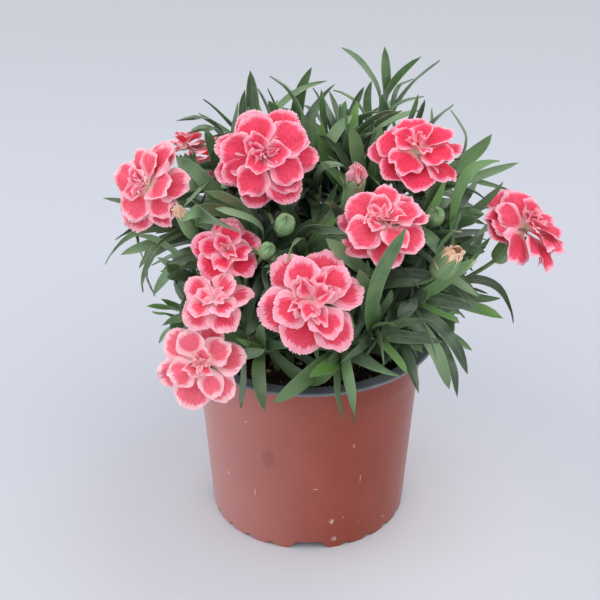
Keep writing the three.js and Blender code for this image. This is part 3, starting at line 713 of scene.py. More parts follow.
# How many places a packed leaf may have tried, how narrow its foot is, how deep its channel, and how far
# along its length it is looked for on the solid.
LEAF_TRIES = 14
SOLID_NECK = 0.15
SOLID_CHANNEL = 0.2
SOLID_STATION = 0.68
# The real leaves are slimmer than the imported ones. Those that reach out of the mass are shortened by steps.
SLIMMER = 0.78
SHORTER = 0.88
SHORTER_STEPS = 5
# How long an arching leaf may be, where along a stem it may spring, and how many of its places are tried.
LONGEST_LEAF = 52
FIRST_ROOT = 0.3
ROOT_STEP = 0.03
FLOWER_STEM_ROOTS = 17
SHOOT_ROOTS = 24
BEST_PLACES = 10
# Each pair of a tuft: its leaves' length, how far they open in degrees, their width, and how fresh they are.
TUFT = [(31, 24, 5.8, 0.45), (22, 13, 4.8, 0.75), (13, 5, 3.2, 0.95)]
TUFT_TRIES = 3
# Where along a stem the leaves between the others spring, from the top down.
BETWEEN_SHARES = (0.96, 0.9, 0.85, 0.8, 0.73, 0.66, 0.6, 0.54, 0.4, 0.28, 0.15)
BETWEEN_TRIES = 8
# Flower stems are bare above this share of their length.
BARE_ABOVE = 0.7
# The leaves between the others end inside this ball.
BALL_CENTRE = Vector((2, 2, 120))
BALL_RADII = Vector((92, 92, 98))
RIBBON_STEPS = 7
# How far before a bloom's face a leaf may not hang, and how wide of its middle, as a share of its reach.
CLEAR_BEFORE = 60
CLEAR_BESIDE = 0.92
# The heart of the mass of leaves, where painted shade darkens them.
MASS_CENTRE = Vector((2, 2, 138))
MASS_RADII = (84, 84, 74)
PIXELS = 600
FOCAL_PIXELS = 1860
CAMERA_DISTANCE = 850
CAMERA_AIM = Vector((0, 0, 110))
CAMERA_RISE = math.radians(30)
AIM_PIXEL = (308.5, 295.5)
VIEW = Vector((0, -math.cos(CAMERA_RISE), math.sin(CAMERA_RISE)))
# The leaves that arch out of the mass, as the camera sees them: the pixels where each comes into sight,
# of its middle and of its tip, how far its tip is behind the pot's axis, its width, and how fresh it is.
ARCHING = [
    ((378, 118), (371, 75), (340, 47), 27, 4.8, 0), ((384, 125), (385, 85), (384, 46), 28, 5.8, 0.25),
    ((384, 120), (396, 79), (423, 59), 30, 5.4, 0.3), ((390, 120), (410, 84), (439, 60), 26, 4.2, 0),
    ((393, 108), (402, 82), (413, 76), 34, 2.4, 0), ((390, 128), (404, 101), (424, 99), 18, 4.6, 0.2),
    ((413, 132), (419, 114), (425, 100), 14, 5.4, 0.2), ((425, 132), (439, 116), (453, 106), 12, 4.6, 0.1),
    ((433, 132), (432, 119), (431, 108), 20, 2.4, 0), ((457, 168), (463, 131), (449, 113), 4, 3.0, 0),
    ((372, 125), (367, 102), (369, 82), 36, 4.2, 0), ((345, 136), (352, 112), (362, 88), 26, 5.2, 0),
    ((357, 116), (351, 97), (334, 88), 28, 3.0, 0), ((340, 125), (334, 106), (329, 90), 30, 3.2, 0),
    ((325, 136), (322, 112), (320, 90), 20, 5.2, 0.35), ((323, 110), (318, 97), (313, 89), 34, 2.8, 0),
    ((303, 115), (320, 98), (334, 84), 34, 2.8, 0), ((283, 112), (302, 89), (327, 83), 24, 3.0, 0),
    ((292, 122), (301, 93), (312, 66), 24, 5.6, 0), ((288, 118), (286, 88), (271, 78), 16, 6.2, 0.3),
    ((278, 110), (273, 98), (268, 89), 26, 2.6, 0), ((256, 122), (252, 96), (249, 72), 22, 6.2, 0),
    ((242, 122), (242, 106), (243, 91), 18, 4.8, 0), ((273, 120), (266, 103), (258, 89), 26, 4.8, 0),
    ((232, 122), (235, 112), (236, 102), 22, 2.8, 0), ((236, 126), (218, 112), (203, 102), 16, 2.6, 0),
    ((230, 130), (213, 122), (198, 113), 12, 2.8, 0), ((224, 130), (201, 118), (176, 121), 10, 3.8, 0),
    ((216, 152), (208, 127), (188, 136), 8, 4.2, 0), ((458, 168), (475, 151), (490, 135), 14, 6.2, 0.35),
    ((458, 228), (481, 165), (499, 161), -2, 5.6, 0.35), ((466, 184), (492, 171), (518, 162), 8, 4.2, 0),
    ((474, 208), (490, 198), (504, 183), -6, 4.0, 0), ((462, 184), (488, 184), (511, 192), 10, 2.8, 0),
    ((425, 222), (455, 212), (488, 209), -14, 5.0, 0), ((448, 264), (470, 242), (487, 222), -30, 8.0, 0),
    ((462, 284), (493, 284), (513, 323), -14, 4.0, 0), ((460, 303), (480, 297), (500, 297), -16, 4.8, 0.15),
    ((432, 310), (470, 307), (503, 319), -24, 7.4, 0.45), ((438, 286), (462, 293), (477, 312), -36, 5.6, 0),
    ((460, 294), (474, 290), (488, 293), -10, 2.8, 0), ((426, 320), (449, 336), (468, 374), -52, 5.6, 0),
    ((415, 326), (437, 354), (449, 389), -62, 6.0, 0), ((430, 335), (452, 368), (456, 399), -58, 4.4, 0),
    ((399, 345), (411, 367), (419, 392), -72, 5.8, 0), ((440, 335), (459, 343), (471, 350), -46, 3.6, 0),
    ((350, 352), (376, 366), (401, 379), -80, 6.6, 0), ((330, 358), (346, 378), (353, 413), -84, 6.8, 0.55),
    ((334, 368), (336, 392), (340, 419), -78, 5.0, 0), ((417, 290), (409, 303), (397, 322), -56, 7.6, 0),
    ((390, 308), (381, 333), (369, 354), -66, 7.0, 0), ((364, 301), (358, 317), (354, 333), -62, 6.0, 0),
    ((372, 292), (395, 280), (418, 280), -58, 6.4, 0), ((430, 285), (448, 287), (462, 300), -44, 5.6, 0),
    ((372, 318), (384, 325), (397, 328), -66, 4.6, 0.5),
    ((370, 332), (382, 267), (404, 231), -82, 8.8, 0.35), ((358, 272), (343, 255), (325, 238), -72, 6.6, 0),
    ((368, 298), (364, 284), (358, 270), -72, 7.6, 0.25), ((312, 374), (292, 388), (272, 404), -80, 7.2, 0),
    ((254, 368), (259, 388), (266, 411), -74, 5.6, 0), ((246, 372), (243, 390), (239, 407), -66, 4.6, 0),
    ((345, 372), (352, 392), (353, 423), -76, 4.4, 0), ((300, 372), (318, 380), (334, 372), -76, 5.4, 0),
    ((330, 362), (322, 370), (309, 376), -84, 6.6, 0.8), ((150, 206), (128, 202), (103, 198), -10, 3.4, 0),
    ((140, 226), (127, 232), (116, 243), -14, 3.2, 0), ((150, 238), (123, 241), (107, 264), -16, 2.8, 0),
    ((180, 240), (148, 246), (119, 255), -22, 4.8, 0), ((128, 232), (136, 244), (145, 257), -20, 3.2, 0),
    ((172, 243), (150, 252), (138, 268), -26, 4.0, 0), ((172, 243), (147, 264), (144, 294), -30, 3.0, 0),
    ((175, 243), (146, 272), (157, 299), -34, 3.2, 0), ((186, 244), (172, 270), (154, 296), -38, 6.0, 0),
    ((178, 262), (176, 284), (184, 303), -36, 4.6, 0), ((180, 310), (163, 306), (146, 306), -38, 4.8, 0.5),
    ((180, 314), (166, 315), (151, 314), -40, 4.2, 0.5),
    ((178, 306), (168, 302), (160, 299), -34, 4.4, 0.5),
    ((178, 316), (169, 322), (160, 327), -44, 5.0, 0.5), ((168, 328), (162, 335), (157, 344), -44, 3.2, 0),
    ((224, 200), (200, 178), (176, 157), -36, 7.2, 0), ((232, 204), (199, 188), (183, 207), -44, 6.2, 0),
    ((276, 234), (245, 216), (213, 209), -62, 7.2, 0), ((224, 212), (200, 212), (178, 224), -50, 6.4, 0),
    ((196, 226), (219, 221), (241, 235), -76, 8.0, 0), ((296, 234), (318, 228), (345, 234), -68, 6.0, 0),
    ((284, 240), (279, 262), (264, 268), -68, 6.4, 0), ((270, 266), (266, 282), (267, 296), -72, 6.0, 0),
    ((232, 240), (246, 246), (262, 256), -66, 5.6, 0), ((166, 244), (150, 238), (136, 236), -24, 3.6, 0),
    ((330, 160), (322, 145), (320, 122), -10, 6.4, 0.3), ((345, 165), (346, 140), (344, 112), -6, 6.4, 0.3),
    ((356, 170), (366, 148), (376, 122), -6, 6.4, 0), ((340, 170), (334, 146), (322, 132), -20, 4.0, 0),
    ((300, 148), (297, 128), (283, 110), 0, 5.6, 0), ((316, 172), (330, 166), (342, 168), -36, 4.6, 0),
    ((338, 182), (331, 170), (318, 162), -32, 4.4, 0), ((395, 315), (412, 322), (428, 336), -56, 6.4, 0),
    ((396, 345), (388, 356), (380, 367), -70, 5.6, 0), ((437, 265), (433, 240), (416, 223), -52, 6.0, 0),
    ((425, 262), (440, 246), (454, 230), -44, 6.0, 0.35), ((250, 212), (228, 198), (204, 190), -52, 7.0, 0),
    ((293, 235), (291, 248), (286, 262), -72, 4.6, 0.2), ((262, 312), (252, 325), (243, 336), -74, 6.4, 0),
    ((246, 352), (255, 352), (264, 350), -66, 5.0, 0), ((366, 290), (366, 274), (364, 262), -70, 3.6, 0.6),
    ((300, 150), (306, 132), (300, 112), -14, 6.0, 0), ((352, 175), (356, 150), (352, 126), -14, 6.4, 0.15),
    ((312, 160), (310, 138), (314, 118), -10, 6.2, 0.2), ((366, 165), (380, 146), (372, 128), -2, 6.0, 0),
    ((330, 200), (344, 186), (338, 176), -44, 4.8, 0.1), ((336, 215), (330, 204), (322, 202), -52, 4.6, 0),
    ((268, 255), (258, 290), (252, 304), -70, 6.2, 0), ((340, 150), (326, 140), (320, 134), -22, 4.8, 0),
    ((408, 112), (414, 106), (418, 96), 4, 4.8, 0.3),
]  # fmt: skip
# The edge of the mass of leaves in the same view. Only the leaves above reach out of it.
MASS_OUTLINE = [
    (156, 226), (140, 246), (150, 264), (168, 280), (176, 296), (164, 312), (168, 332), (200, 350),
    (240, 384), (246, 370), (262, 350), (300, 350), (316, 364), (332, 384), (352, 388), (372, 374),
    (398, 372), (414, 382), (424, 362), (440, 360), (446, 338), (462, 330), (466, 312), (484, 304),
    (480, 284), (472, 274), (484, 258), (492, 236), (488, 214), (480, 190), (482, 164), (470, 148),
    (456, 138), (450, 122), (436, 114), (418, 106), (400, 100), (384, 92), (366, 98), (346, 102),
    (330, 96), (316, 92), (302, 100), (286, 96), (270, 98), (254, 92), (240, 102), (226, 116),
    (210, 124), (196, 138), (190, 160), (172, 186), (160, 206),
]  # fmt: skip


def half_width(s, width, neck):
    """Half of a blade's width at a share of its length."""
    opened = mix(neck, 1, math.sin(math.pi / 2 * min(1, s / 0.42)))
    return width / 2 * opened * (1 - s**3.4) ** 0.8


def leaf_frame(leaf, s):
    """The midrib's point, side direction and upper normal at a share of a leaf's length."""
    point = leaf.root + leaf.heading * (leaf.length * s) + leaf.bend * (leaf.length * s * s)
    heading = (leaf.heading + leaf.bend * (2 * s)).normalized()
    side = Quaternion(heading, leaf.twist * s) @ heading.cross(leaf.upper).normalized()
    return point, side, side.cross(heading)


def paired_leaf(stem, pair, side, attempt):
    """A leaf of a crossed pair of the solids. Each later attempt swings it further from its place."""

    def draw(k):
        return chance(stem.index, pair, side, attempt, k) - 0.5

    share = pair / (stem.pairs - 1) if stem.pairs > 1 else 0
    swing = attempt / LEAF_TRIES
    root, axis = on_stem(stem, mix(*stem.reaches, share))
    u = square(stem.reference, axis)
    bearing = stem.turn + (pair + 2 * side) * math.pi / 2 + draw(1) * mix(0.3, 3, swing)
    opening = math.radians(mix(64, 20, share**0.9) + draw(2) * mix(12, 80, swing))
    return opened_leaf(
        root,
        axis,
        turned(u, axis.cross(u), bearing),
        opening,
        droop=0.06 + 0.16 * (draw(3) + 0.5) + 0.12 * math.sin(opening),
        arch=0.18 + 0.16 * draw(4),
        length=LEAF_LENGTH * stem.size * mix(1, 0.8, share**3) * (1 + 0.26 * draw(5)) * mix(1, 0.7, swing),
        width=LEAF_WIDTH * (1 + 0.24 * draw(6)),
        twist=0.9 * draw(7),
        fresh=0,
    )


def opened_leaf(root, axis, radial, opening, droop, arch, **sizes):
    """A leaf that opens from its stem by an angle, arches away from it, and droops a little."""
    heading = turned(axis, radial, opening)
    bend = radial * arch - UP * droop
    return SimpleNamespace(root=root, heading=heading, upper=square(axis, heading), bend=bend, **sizes)


def solid_leaf(stem, plan, station):
    """The first of a leaf's places that the stem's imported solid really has, or None."""
    for attempt in range(LEAF_TRIES):
        leaf = plan(attempt)
        point, side, normal = leaf_frame(leaf, station)
        half = half_width(station, leaf.width, SOLID_NECK)
        edge = point + normal * (SOLID_CHANNEL * half) - side * half
        if np.abs(stem.corners - np.array(edge)).sum(axis=1).min() < 0.06:
            return leaf
    return None


def arched(leaf, keys):
    """Lets a leaf of the solids, which is nearly straight, arch over under its own weight."""
    heading = leaf.heading.normalized()
    outward = Vector((heading.x, heading.y, 0)).normalized()
    fall = square(outward * 0.6 - UP, heading) * mix(0.12, 0.42, chance(*keys, 33))
    sway = heading.cross(UP).normalized() * 0.5 * (chance(*keys, 34) - 0.5)
    leaf.bend = leaf.bend + fall + sway
    leaf.heading = leaf.heading - fall * 0.6 - sway


def pixel_of(spot):
    """The pixel at which the camera sees a point."""
    off = spot - CAMERA_AIM - VIEW * CAMERA_DISTANCE
    up = off.dot(Vector((0, math.sin(CAMERA_RISE), math.cos(CAMERA_RISE))))
    far = -off.dot(VIEW) / FOCAL_PIXELS
    return AIM_PIXEL[0] + off.x / far, AIM_PIXEL[1] - up / far


def in_mass(spot):
    """Whether the camera sees a point inside the outline of the mass of leaves."""
    x, y = pixel_of(spot)
    inside = False
    for (x1, y1), (x2, y2) in zip(MASS_OUTLINE, MASS_OUTLINE[1:] + MASS_OUTLINE[:1]):
        if (y1 > y) != (y2 > y) and x < x1 + (x2 - x1) * (y - y1) / (y2 - y1):
            inside = not inside
    return inside


def fits_mass(leaf):
    """Whether the outer part of a leaf stays inside the outline of the mass."""
    return all(in_mass(leaf_frame(leaf, s)[0]) for s in (0.6, 0.8, 1))


def open_to_front(leaf):
    """How far a leaf twists along its length to turn its upper face outwards and to the front."""
    _, side, normal = leaf_frame(leaf, 0)
    outward = square(Vector((0.3 * leaf.root.x, -60, 25)), leaf.heading.normalized())
    off = math.atan2(outward.dot(side), outward.dot(normal))
    return max(-1.7, min(1.7, 1.3 * off))


def node_corners(node):
    """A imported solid's corners, in millimetres from the pot's axis."""
    points = np.empty(3 * len(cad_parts[node].data.vertices), np.float32)
    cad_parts[node].data.vertices.foreach_get("co", points)
    return (points.reshape(-1, 3) - np.array(POT_AXIS)) / MM


for stem in stems:
    stem.corners = node_corners(stem.node)
    stem.leaves = []
for stem in stems:
    for pair in range(stem.pairs):
        for side in (0, 1):
            leaf = solid_leaf(stem, lambda attempt: paired_leaf(stem, pair, side, attempt), SOLID_STATION)
            if leaf:
                arched(leaf, (stem.index, pair, side))
                leaf.width *= SLIMMER
                for _ in range(SHORTER_STEPS):
                    if not fits_mass(leaf):
                        leaf.length *= SHORTER
                if fits_mass(leaf):
                    stem.leaves.append(leaf)


def obstacle(nodes, margin):
    """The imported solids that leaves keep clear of, as one searchable surface."""
    corners, faces = [], []
    for node in nodes:
        first = len(corners)
        corners += [Vector(c) for c in node_corners(node)]
        faces += [[first + v for v in face.vertices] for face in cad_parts[node].data.polygons]
    return BVHTree.FromPolygons(corners, faces, epsilon=margin)


def ribbon(leaf, start):
    """A leaf's blade from a share of its length on, as a plain ribbon, and the middle of it."""
    corners, faces = [], []
    for i in range(RIBBON_STEPS + 1):
        s = mix(start, 0.98, i / RIBBON_STEPS)
        point, side, _ = leaf_frame(leaf, s)
        half = half_width(s, leaf.width, 0.3)
        corners += [point - side * half, point + side * half]
        if i:
            faces.append((2 * i - 2, 2 * i - 1, 2 * i + 1, 2 * i))
    return BVHTree.FromPolygons(corners, faces, epsilon=0.3), leaf_frame(leaf, 0.55)[0]


petal_wall = obstacle(["bloom_%02d" % (i + 1) for i in range(len(flowers))], 1.4)
stalk_wall = obstacle([stem.node for stem in stems if stem.flower], 0.6)
pot_wall = obstacle(["pot"], 0.4)
walls = (petal_wall, stalk_wall, pot_wall)
plant_low, plant_high = [(Vector(corner) - POT_AXIS) / MM for corner in cad_box]
ribbons = [ribbon(leaf, 0.12) for stem in stems for leaf in stem.leaves]


def seen_at(pixel, back):
    """The point that the camera sees at a pixel, at a given depth behind the pot's axis."""
    right, down = ((p - aim) / FOCAL_PIXELS for p, aim in zip(pixel, AIM_PIXEL))
    ray = Vector((right, 0, 0)) - VIEW - down * Vector((0, math.sin(CAMERA_RISE), math.cos(CAMERA_RISE)))
    eye = CAMERA_AIM + VIEW * CAMERA_DISTANCE
    return eye + ray * ((back - eye.y) / ray.y)


def arching_leaf(stem, share, seen):
    """How badly a leaf from a share of a stem would match the one that is seen, the leaf, and the stem."""
    sight_pixel, middle_pixel, tip_pixel, back, width, fresh = seen
    root, axis = on_stem(stem, share)
    tip = seen_at(tip_pixel, back)
    middle = seen_at(middle_pixel, mix(root.y, back, 0.8))
    sight = seen_at(sight_pixel, mix(root.y, back, 0.3))
    first, second = middle - root, tip - root
    path = first.length + (tip - middle).length
    half_way = first.length / path
    bend = (second * half_way - first) / (half_way - half_way**2)
    heading = second - bend
    length = second.length
    along = max(0, min(1, (sight - root).dot(first) / first.length_squared))
    aside = (sight - root - first * along).length
    crowded = sum(abs(share - other) < 0.04 for other in stem.taken)
    awkward = max(0, 0.3 - heading.normalized().dot(axis))
    seen_first = Vector(middle_pixel) - Vector(pixel_of(root))
    seen_last = Vector(tip_pixel) - Vector(middle_pixel)
    folded = max(0, 0.1 - seen_first.normalized().dot(seen_last.normalized()))
    too_long = max(0, path - LONGEST_LEAF)
    misfit = aside + 1.5 * too_long + 0.15 * path + 3 * crowded + 12 * awkward + 14 * folded
    leaf = SimpleNamespace(
        root=root,
        heading=heading / length,
        upper=square(axis, heading.normalized()),
        bend=bend / length,
        length=length,
        width=1.06 * width,
        twist=0,
        fresh=fresh,
        share=share,
    )
    return misfit, leaf, stem


def crossings(leaf):
    """How many other leaves a leaf would cut through. Petals, stalks and the pot count as three each."""
    blade, middle = ribbon(leaf, 0.2)
    solids = sum(3 for wall in walls if blade.overlap(wall))
    near = (other for other, centre in ribbons if (centre - middle).length < LEAF_LENGTH)
    return solids + sum(1 for other in near if blade.overlap(other))


def hides_bloom(leaf):
    """Whether a leaf would hang before an open bloom's face."""
    for s in (0.3, 0.5, 0.7, 0.85, 1):
        spot = leaf_frame(leaf, s)[0]
        for flower in flowers:
            for facing in (flower.face, VIEW):
                above = (spot - flower.eye).dot(facing)
                beside = (spot - flower.eye - facing * above).length
                if 0 < above < CLEAR_BEFORE and beside < CLEAR_BESIDE * flower.reach:
                    return True
    return False


def has_room(leaf, in_ball):
    """Whether a leaf fits in the plant's outline, clear of blooms, pot and the leaves that are there."""
    spots = [leaf_frame(leaf, s)[0] for s in (0.5, 0.8, 1)]
    if any(not low < at < high for spot in spots for low, at, high in zip(plant_low, spot, plant_high)):
        return False
    off = spots[-1] - BALL_CENTRE
    if in_ball and math.hypot(*[a / r for a, r in zip(off, BALL_RADII)]) > 1:
        return False
    if hides_bloom(leaf) or not fits_mass(leaf):
        return False
    blade, middle = ribbon(leaf, 0.2)
    if any(blade.overlap(wall) for wall in walls):
        return False
    near = (other for other, centre in ribbons if (centre - middle).length < 0.9 * LEAF_LENGTH)
    return not any(blade.overlap(other) for other in near)


def add_leaf(stem, plan, tries, in_ball):
    """Gives the stem the first leaf of a plan that has room, or none."""
    for attempt in range(tries):
        leaf = plan(attempt)
        if has_room(leaf, in_ball):
            stem.leaves.append(leaf)
            ribbons.append(ribbon(leaf, 0.12))
            return


def between_leaf(stem, share, step, side, attempt):
    """A leaf of the pairs between those of the solids."""

    def draw(k):
        return chance(stem.index, 31 + step, side, attempt, k) - 0.5

    swing = attempt / BETWEEN_TRIES
    root, axis = on_stem(stem, share + 0.03 * draw(8))
    u = square(stem.reference, axis)
    bearing = stem.turn + math.pi / 4 + (step + 2 * side) * math.pi / 2 + draw(1) * mix(0.6, 3, swing)
    opening = math.radians(mix(78, 22, share**1.4) + draw(2) * mix(20, 80, swing))
    length = LEAF_LENGTH * stem.size * mix(0.72, 0.98, chance(stem.index, step, side, 50))
    return opened_leaf(
        root,
        axis,
        turned(u, axis.cross(u), bearing),
        opening,
        droop=0.06 + 0.4 * (draw(3) + 0.5),
        arch=0.3 + 0.5 * draw(4),
        length=length * mix(1, 0.7, swing),
        width=LEAF_WIDTH * (0.72 + 0.36 * draw(6)) * (0.8 if stem.flower else 1),
        twist=1.8 * draw(7),
        fresh=0,
    )


def tuft_leaf(stem, step, side, attempt):
    """A young leaf of the tuft at a shoot's growing tip."""

    def draw(k):
        return chance(stem.index, 71 + step, side, attempt, k) - 0.5

    root, axis = on_stem(stem, 0.995)
    u = square(stem.reference, axis)
    bearing = stem.turn + 0.8 + (step + 2 * side) * math.pi / 2 + draw(1) * (0.4 + attempt)
    length, opening, width, fresh = TUFT[step]
    return opened_leaf(
        root,
        axis,
        turned(u, axis.cross(u), bearing),
        math.radians(opening + 10 * draw(2)),
        droop=0.05,
        arch=0.12 + 0.2 * draw(4),
        length=length * (1 + 0.3 * draw(5)),
        width=width * (1 + 0.2 * draw(6)),
        twist=0.8 * draw(7),
        fresh=fresh,
    )


for stem in stems:
    stem.taken = []
for seen in ARCHING:
    places = []
    for stem in stems:
        for k in range(FLOWER_STEM_ROOTS if stem.flower else SHOOT_ROOTS):
            places.append(arching_leaf(stem, FIRST_ROOT + ROOT_STEP * k, seen))
    places.sort(key=lambda place: place[0])
    best = places[:BEST_PLACES]
    for _, leaf, _ in best:
        leaf.twist = open_to_front(leaf)
    _, leaf, stem = min(best, key=lambda place: place[0] + 2 * crossings(place[1]))
    stem.leaves.append(leaf)
    stem.taken.append(leaf.share)
    ribbons.append(ribbon(leaf, 0.12))
for step in range(len(TUFT)):
    for stem in stems[len(flowers) :]:
        for side in (0, 1):
            add_leaf(stem, lambda attempt: tuft_leaf(stem, step, side, attempt), TUFT_TRIES, in_ball=False)
for step, share in enumerate(BETWEEN_SHARES):
    for stem in stems:
        for side in (0, 1):
            if not stem.flower or share < BARE_ABOVE:
                add_leaf(
                    stem,
                    lambda attempt: between_leaf(stem, share, step, side, attempt),
                    BETWEEN_TRIES,
                    in_ball=True,
                )

leafy = Finish("waxy_leaf", Specular_IOR_Level=0.6)
blade = leafy.attribute("blade")
tone = leafy.attribute("tone")
fresh, dry, own = part(tone, "X"), part(tone, "Y"), part(tone, "Z")
aside, s_along, upper_side = abs(part(blade, "X")), part(blade, "Y"), part(blade, "Z")
spot = leafy.place()
# Young leaves are fresher. The midrib, margins, foot and underside are paler, dry tips are straw-coloured,
# and leaves low down and in the heart of the mass are darkened by painted shade.
mottle = leafy.noise(spot, 0.12, 3.0)
fine = leafy.noise(spot, 1.4, 4.0, 0.6)
fibre_spot = blade * Vector((9, 1.6, 0)) + own * 30.0
fibres = leafy.noise(fibre_spot, 1.0, 3.0)
withered = (s_along + fine * 0.12).smooth(0.9, 1.06) * dry
from_heart = ((spot - MASS_CENTRE) * Vector([1 / radius for radius in MASS_RADII])).sum("LENGTH")
green = coated(
    blend((mottle * 0.6 + own * 0.5).smooth(0.3, 0.8), rgb(27, 56, 17), rgb(116, 149, 96)),
    (fine * 0.35, rgb(120, 138, 110)),
    (fresh.smooth(0.2, 1.0), rgb(104, 152, 66)),
    (fibres.smooth(0.45, 0.75) * 0.22, rgb(128, 150, 122)),
    (aside.smooth(0.14, 0.02) * 0.25, rgb(132, 156, 128)),
    (aside.smooth(0.78, 0.97) * 0.25, rgb(150, 172, 140)),
    (s_along.smooth(0.14, 0.0) * 0.55, rgb(150, 170, 118)),
    ((upper_side < 0.0) * 0.35, rgb(120, 138, 116)),
    (withered, rgb(205, 196, 160)),
    # Painted shade: darker towards the heart of the mass.
    (from_heart.smooth(0.85, 0.45) * 0.8, rgb(12, 27, 9)),
    # Painted shade: darker low down, towards the pot's rim.
    (part(spot, "Z").smooth(120, 92) * 0.6, rgb(25, 46, 18)),
)
leafy.wire("Base Color", green)
leafy.wire("Roughness", 0.28 + fine * 0.2 + withered * 0.2)
leafy.relief(fibres * 0.5 + fine * 0.5, 0.12)


def named(tree, name, kind="FLOAT_VECTOR"):
    """The values of an attribute."""
    return Wire.node(tree, "GeometryNodeInputNamedAttribute", {"data_type": kind}, {"Name": name})


def stored(tree, geometry, name, value):
    """The geometry with a value kept on each point as an attribute."""
    return Wire.node(
        tree,
        "GeometryNodeStoreNamedAttribute",
        {"data_type": "FLOAT_VECTOR"},
        {"Geometry": geometry, "Name": name, "Value": value},
    )


def unit_slab(tree, columns, rows, name):
    """A closed flat slab, 2 across, 1 long and 2 thick, that remembers where each point was on it."""
    sockets = {"Size": (2, 1, 2), "Vertices X": columns, "Vertices Y": rows, "Vertices Z": 2}
    slab = Wire.node(tree, "GeometryNodeMeshCube", None, sockets)
    spot = Wire.node(tree, "GeometryNodeInputPosition")
    return stored(tree, slab, name, spot + Vector((0, 0.5, 0)))


def on_points(tree, points, unit):
    """One realized copy of the unit at each point of a table of pieces."""
    copies = Wire.node(tree, "GeometryNodeInstanceOnPoints", None, {"Points": points, "Instance": unit})
    return Wire.node(tree, "GeometryNodeRealizeInstances", None, {"Geometry": copies})


def leaf_blades(name, material):
    """Shapes one blade for each point: midrib, arch, twist, width and keel as the point's values say."""
    tree, size = new_tree(
        name, Columns=3, Stations=13, Neck=0.42, Channel=0.22, Keel=0.8, Edge=0.16, Groove=0.16, Wander=4.5
    )
    copies = on_points(tree, size["Geometry"], unit_slab(tree, size["Columns"], size["Stations"], "blade"))
    blade = named(tree, "blade")
    u, s, face = part(blade, "X"), part(blade, "Y"), part(blade, "Z")
    lengthwise, heading, bend = named(tree, "length", "FLOAT"), named(tree, "heading"), named(tree, "bend")
    opened = (s / 0.42).sum("MINIMUM", 1.0) * (math.pi / 2)
    opened = size["Neck"] + (size["Neck"].sum("SUBTRACT", first=1.0)) * opened.sum("SINE")
    blunt = part(named(tree, "tone"), "Z") * 2.6 + named(tree, "width", "FLOAT") * 0.38 + 1.9
    taper = (s**blunt).sum("SUBTRACT", first=1.0).sum("MAXIMUM", 0.0) ** 0.8
    half = (named(tree, "width", "FLOAT") * 0.5 * opened * taper).sum("MAXIMUM", 0.05)
    axis = (heading + bend * (s * 2.0)).sum("NORMALIZE")
    across = axis.sum("CROSS_PRODUCT", named(tree, "upper")).sum("NORMALIZE")
    across = Wire.node(
        tree,
        "ShaderNodeVectorRotate",
        {"rotation_type": "AXIS_ANGLE"},
        {"Vector": across, "Axis": axis, "Angle": named(tree, "twist", "FLOAT") * s},
    )
    normal = across.sum("CROSS_PRODUCT", axis)
    middle = (abs(u) / 0.3).sum("SUBTRACT", first=1.0).sum("MAXIMUM", 0.0)
    hollow = half * size["Channel"] * (abs(u) ** 1.3) - middle * size["Groove"]
    stout = (s * 3.0 + 0.4).sum("MINIMUM", 1.0) * (1.0 - s * 0.65)
    thick = size["Edge"] + (size["Keel"] - size["Edge"]) * (1.0 - abs(u) ** 0.8) * stout
    rise = hollow + thick * (face - 1.0) * 0.5
    rib = named(tree, "root") + heading * (lengthwise * s) + bend * (lengthwise * s * s)
    drift = Wire.node(
        tree,
        "ShaderNodeTexNoise",
        None,
        {"Vector": named(tree, "root") * 0.37 + heading * (s * 1.5), "Scale": 1.0, "Detail": 1.0},
        1,
    )
    stray = (drift - Vector((0.5, 0.5, 0.5))) * (s * size["Wander"])
    spot = rib + across * (u * half) + normal * rise + stray
    shaped = Wire.node(tree, "GeometryNodeSetPosition", None, {"Geometry": copies, "Position": spot})
    end_tree(tree, shaped, material, 50)
    return tree


def table(name, rows, keys):
    """A mesh of one point for each row of a table, which carries the row's values."""
    mesh = bpy.data.meshes.new(name)
    mesh.from_pydata([(0, 0, 0)] * len(rows), [], [])
    for key in keys:
        values = np.array([getattr(row, key) for row in rows], float)
        kind, field = ("FLOAT", "value") if values.ndim == 1 else ("FLOAT_VECTOR", "vector")
        mesh.attributes.new(key, kind, "POINT").data.foreach_set(field, values.ravel())
    return mesh


# ---------------------------------------------------------------- stems, calyxes and buds
# Round jointed stems, swollen where a leaf springs from them. A flower stem ends in a ribbed green calyx
# of one tube with five teeth, and six carry a closed side bud on a stalk, two of them with dried petal
# tips that stand out of it. Each stem, its leaves, calyx and bud grew as one piece.

STEM_STEPS = 36
STALK_STEPS = 16
STALK_RADIUS = 1.0
BRACTS = 4
DRIED_TIPS = 7
CALYX_OUTLINE = [(0, 0.44), (0.08, 0.78), (0.25, 0.92), (0.8, 0.97), (1, 1.0)]
BUD_OUTLINE = [(0, 0.4), (0.1, 0.75), (0.35, 1.0), (0.65, 0.96), (0.85, 0.7), (1, 0.4)]
# Each bud's stem, its tip, the way that it faces, its length, half its thickness, and whether its petal
# tips are dry.
BUDS = [
    (8, (-54.7, -40, 174), (-0.35, -0.3, 0.89), 17, 3.4, 1.0),
    (0, (-9.3, -63, 184), (0.1, -0.55, 0.83), 13, 4.2, 0.0),
    (5, (-15.5, -68, 173), (0.3, -0.6, 0.74), 11, 3.4, 0.0),
    (2, (61, -53, 161), (0.42, -0.35, 0.84), 16, 5.7, 1.0),
    (1, (54, -42, 176), (0.1, -0.6, 0.79), 12, 4.0, 0.0),
    (10, (8, 70, 158), (-0.2, 0.6, 0.77), 14, 4.2, 0.0),
]

stalky = Finish("stem_skin", Roughness=0.5, Specular_IOR_Level=0.35)
stalk_noise = stalky.noise(stalky.place() * Vector((1, 1, 0.3)), 0.7, 3.0)
height = part(stalky.place(), "Z")
stalk_green = blend(stalk_noise.smooth(0.3, 0.7), rgb(104, 130, 82), rgb(138, 160, 116))
woody = height.smooth(120, 92) * 0.7
stalky.wire("Base Color", blend(woody, stalk_green, rgb(116, 108, 72)))
stalky.relief(stalk_noise, 0.15)

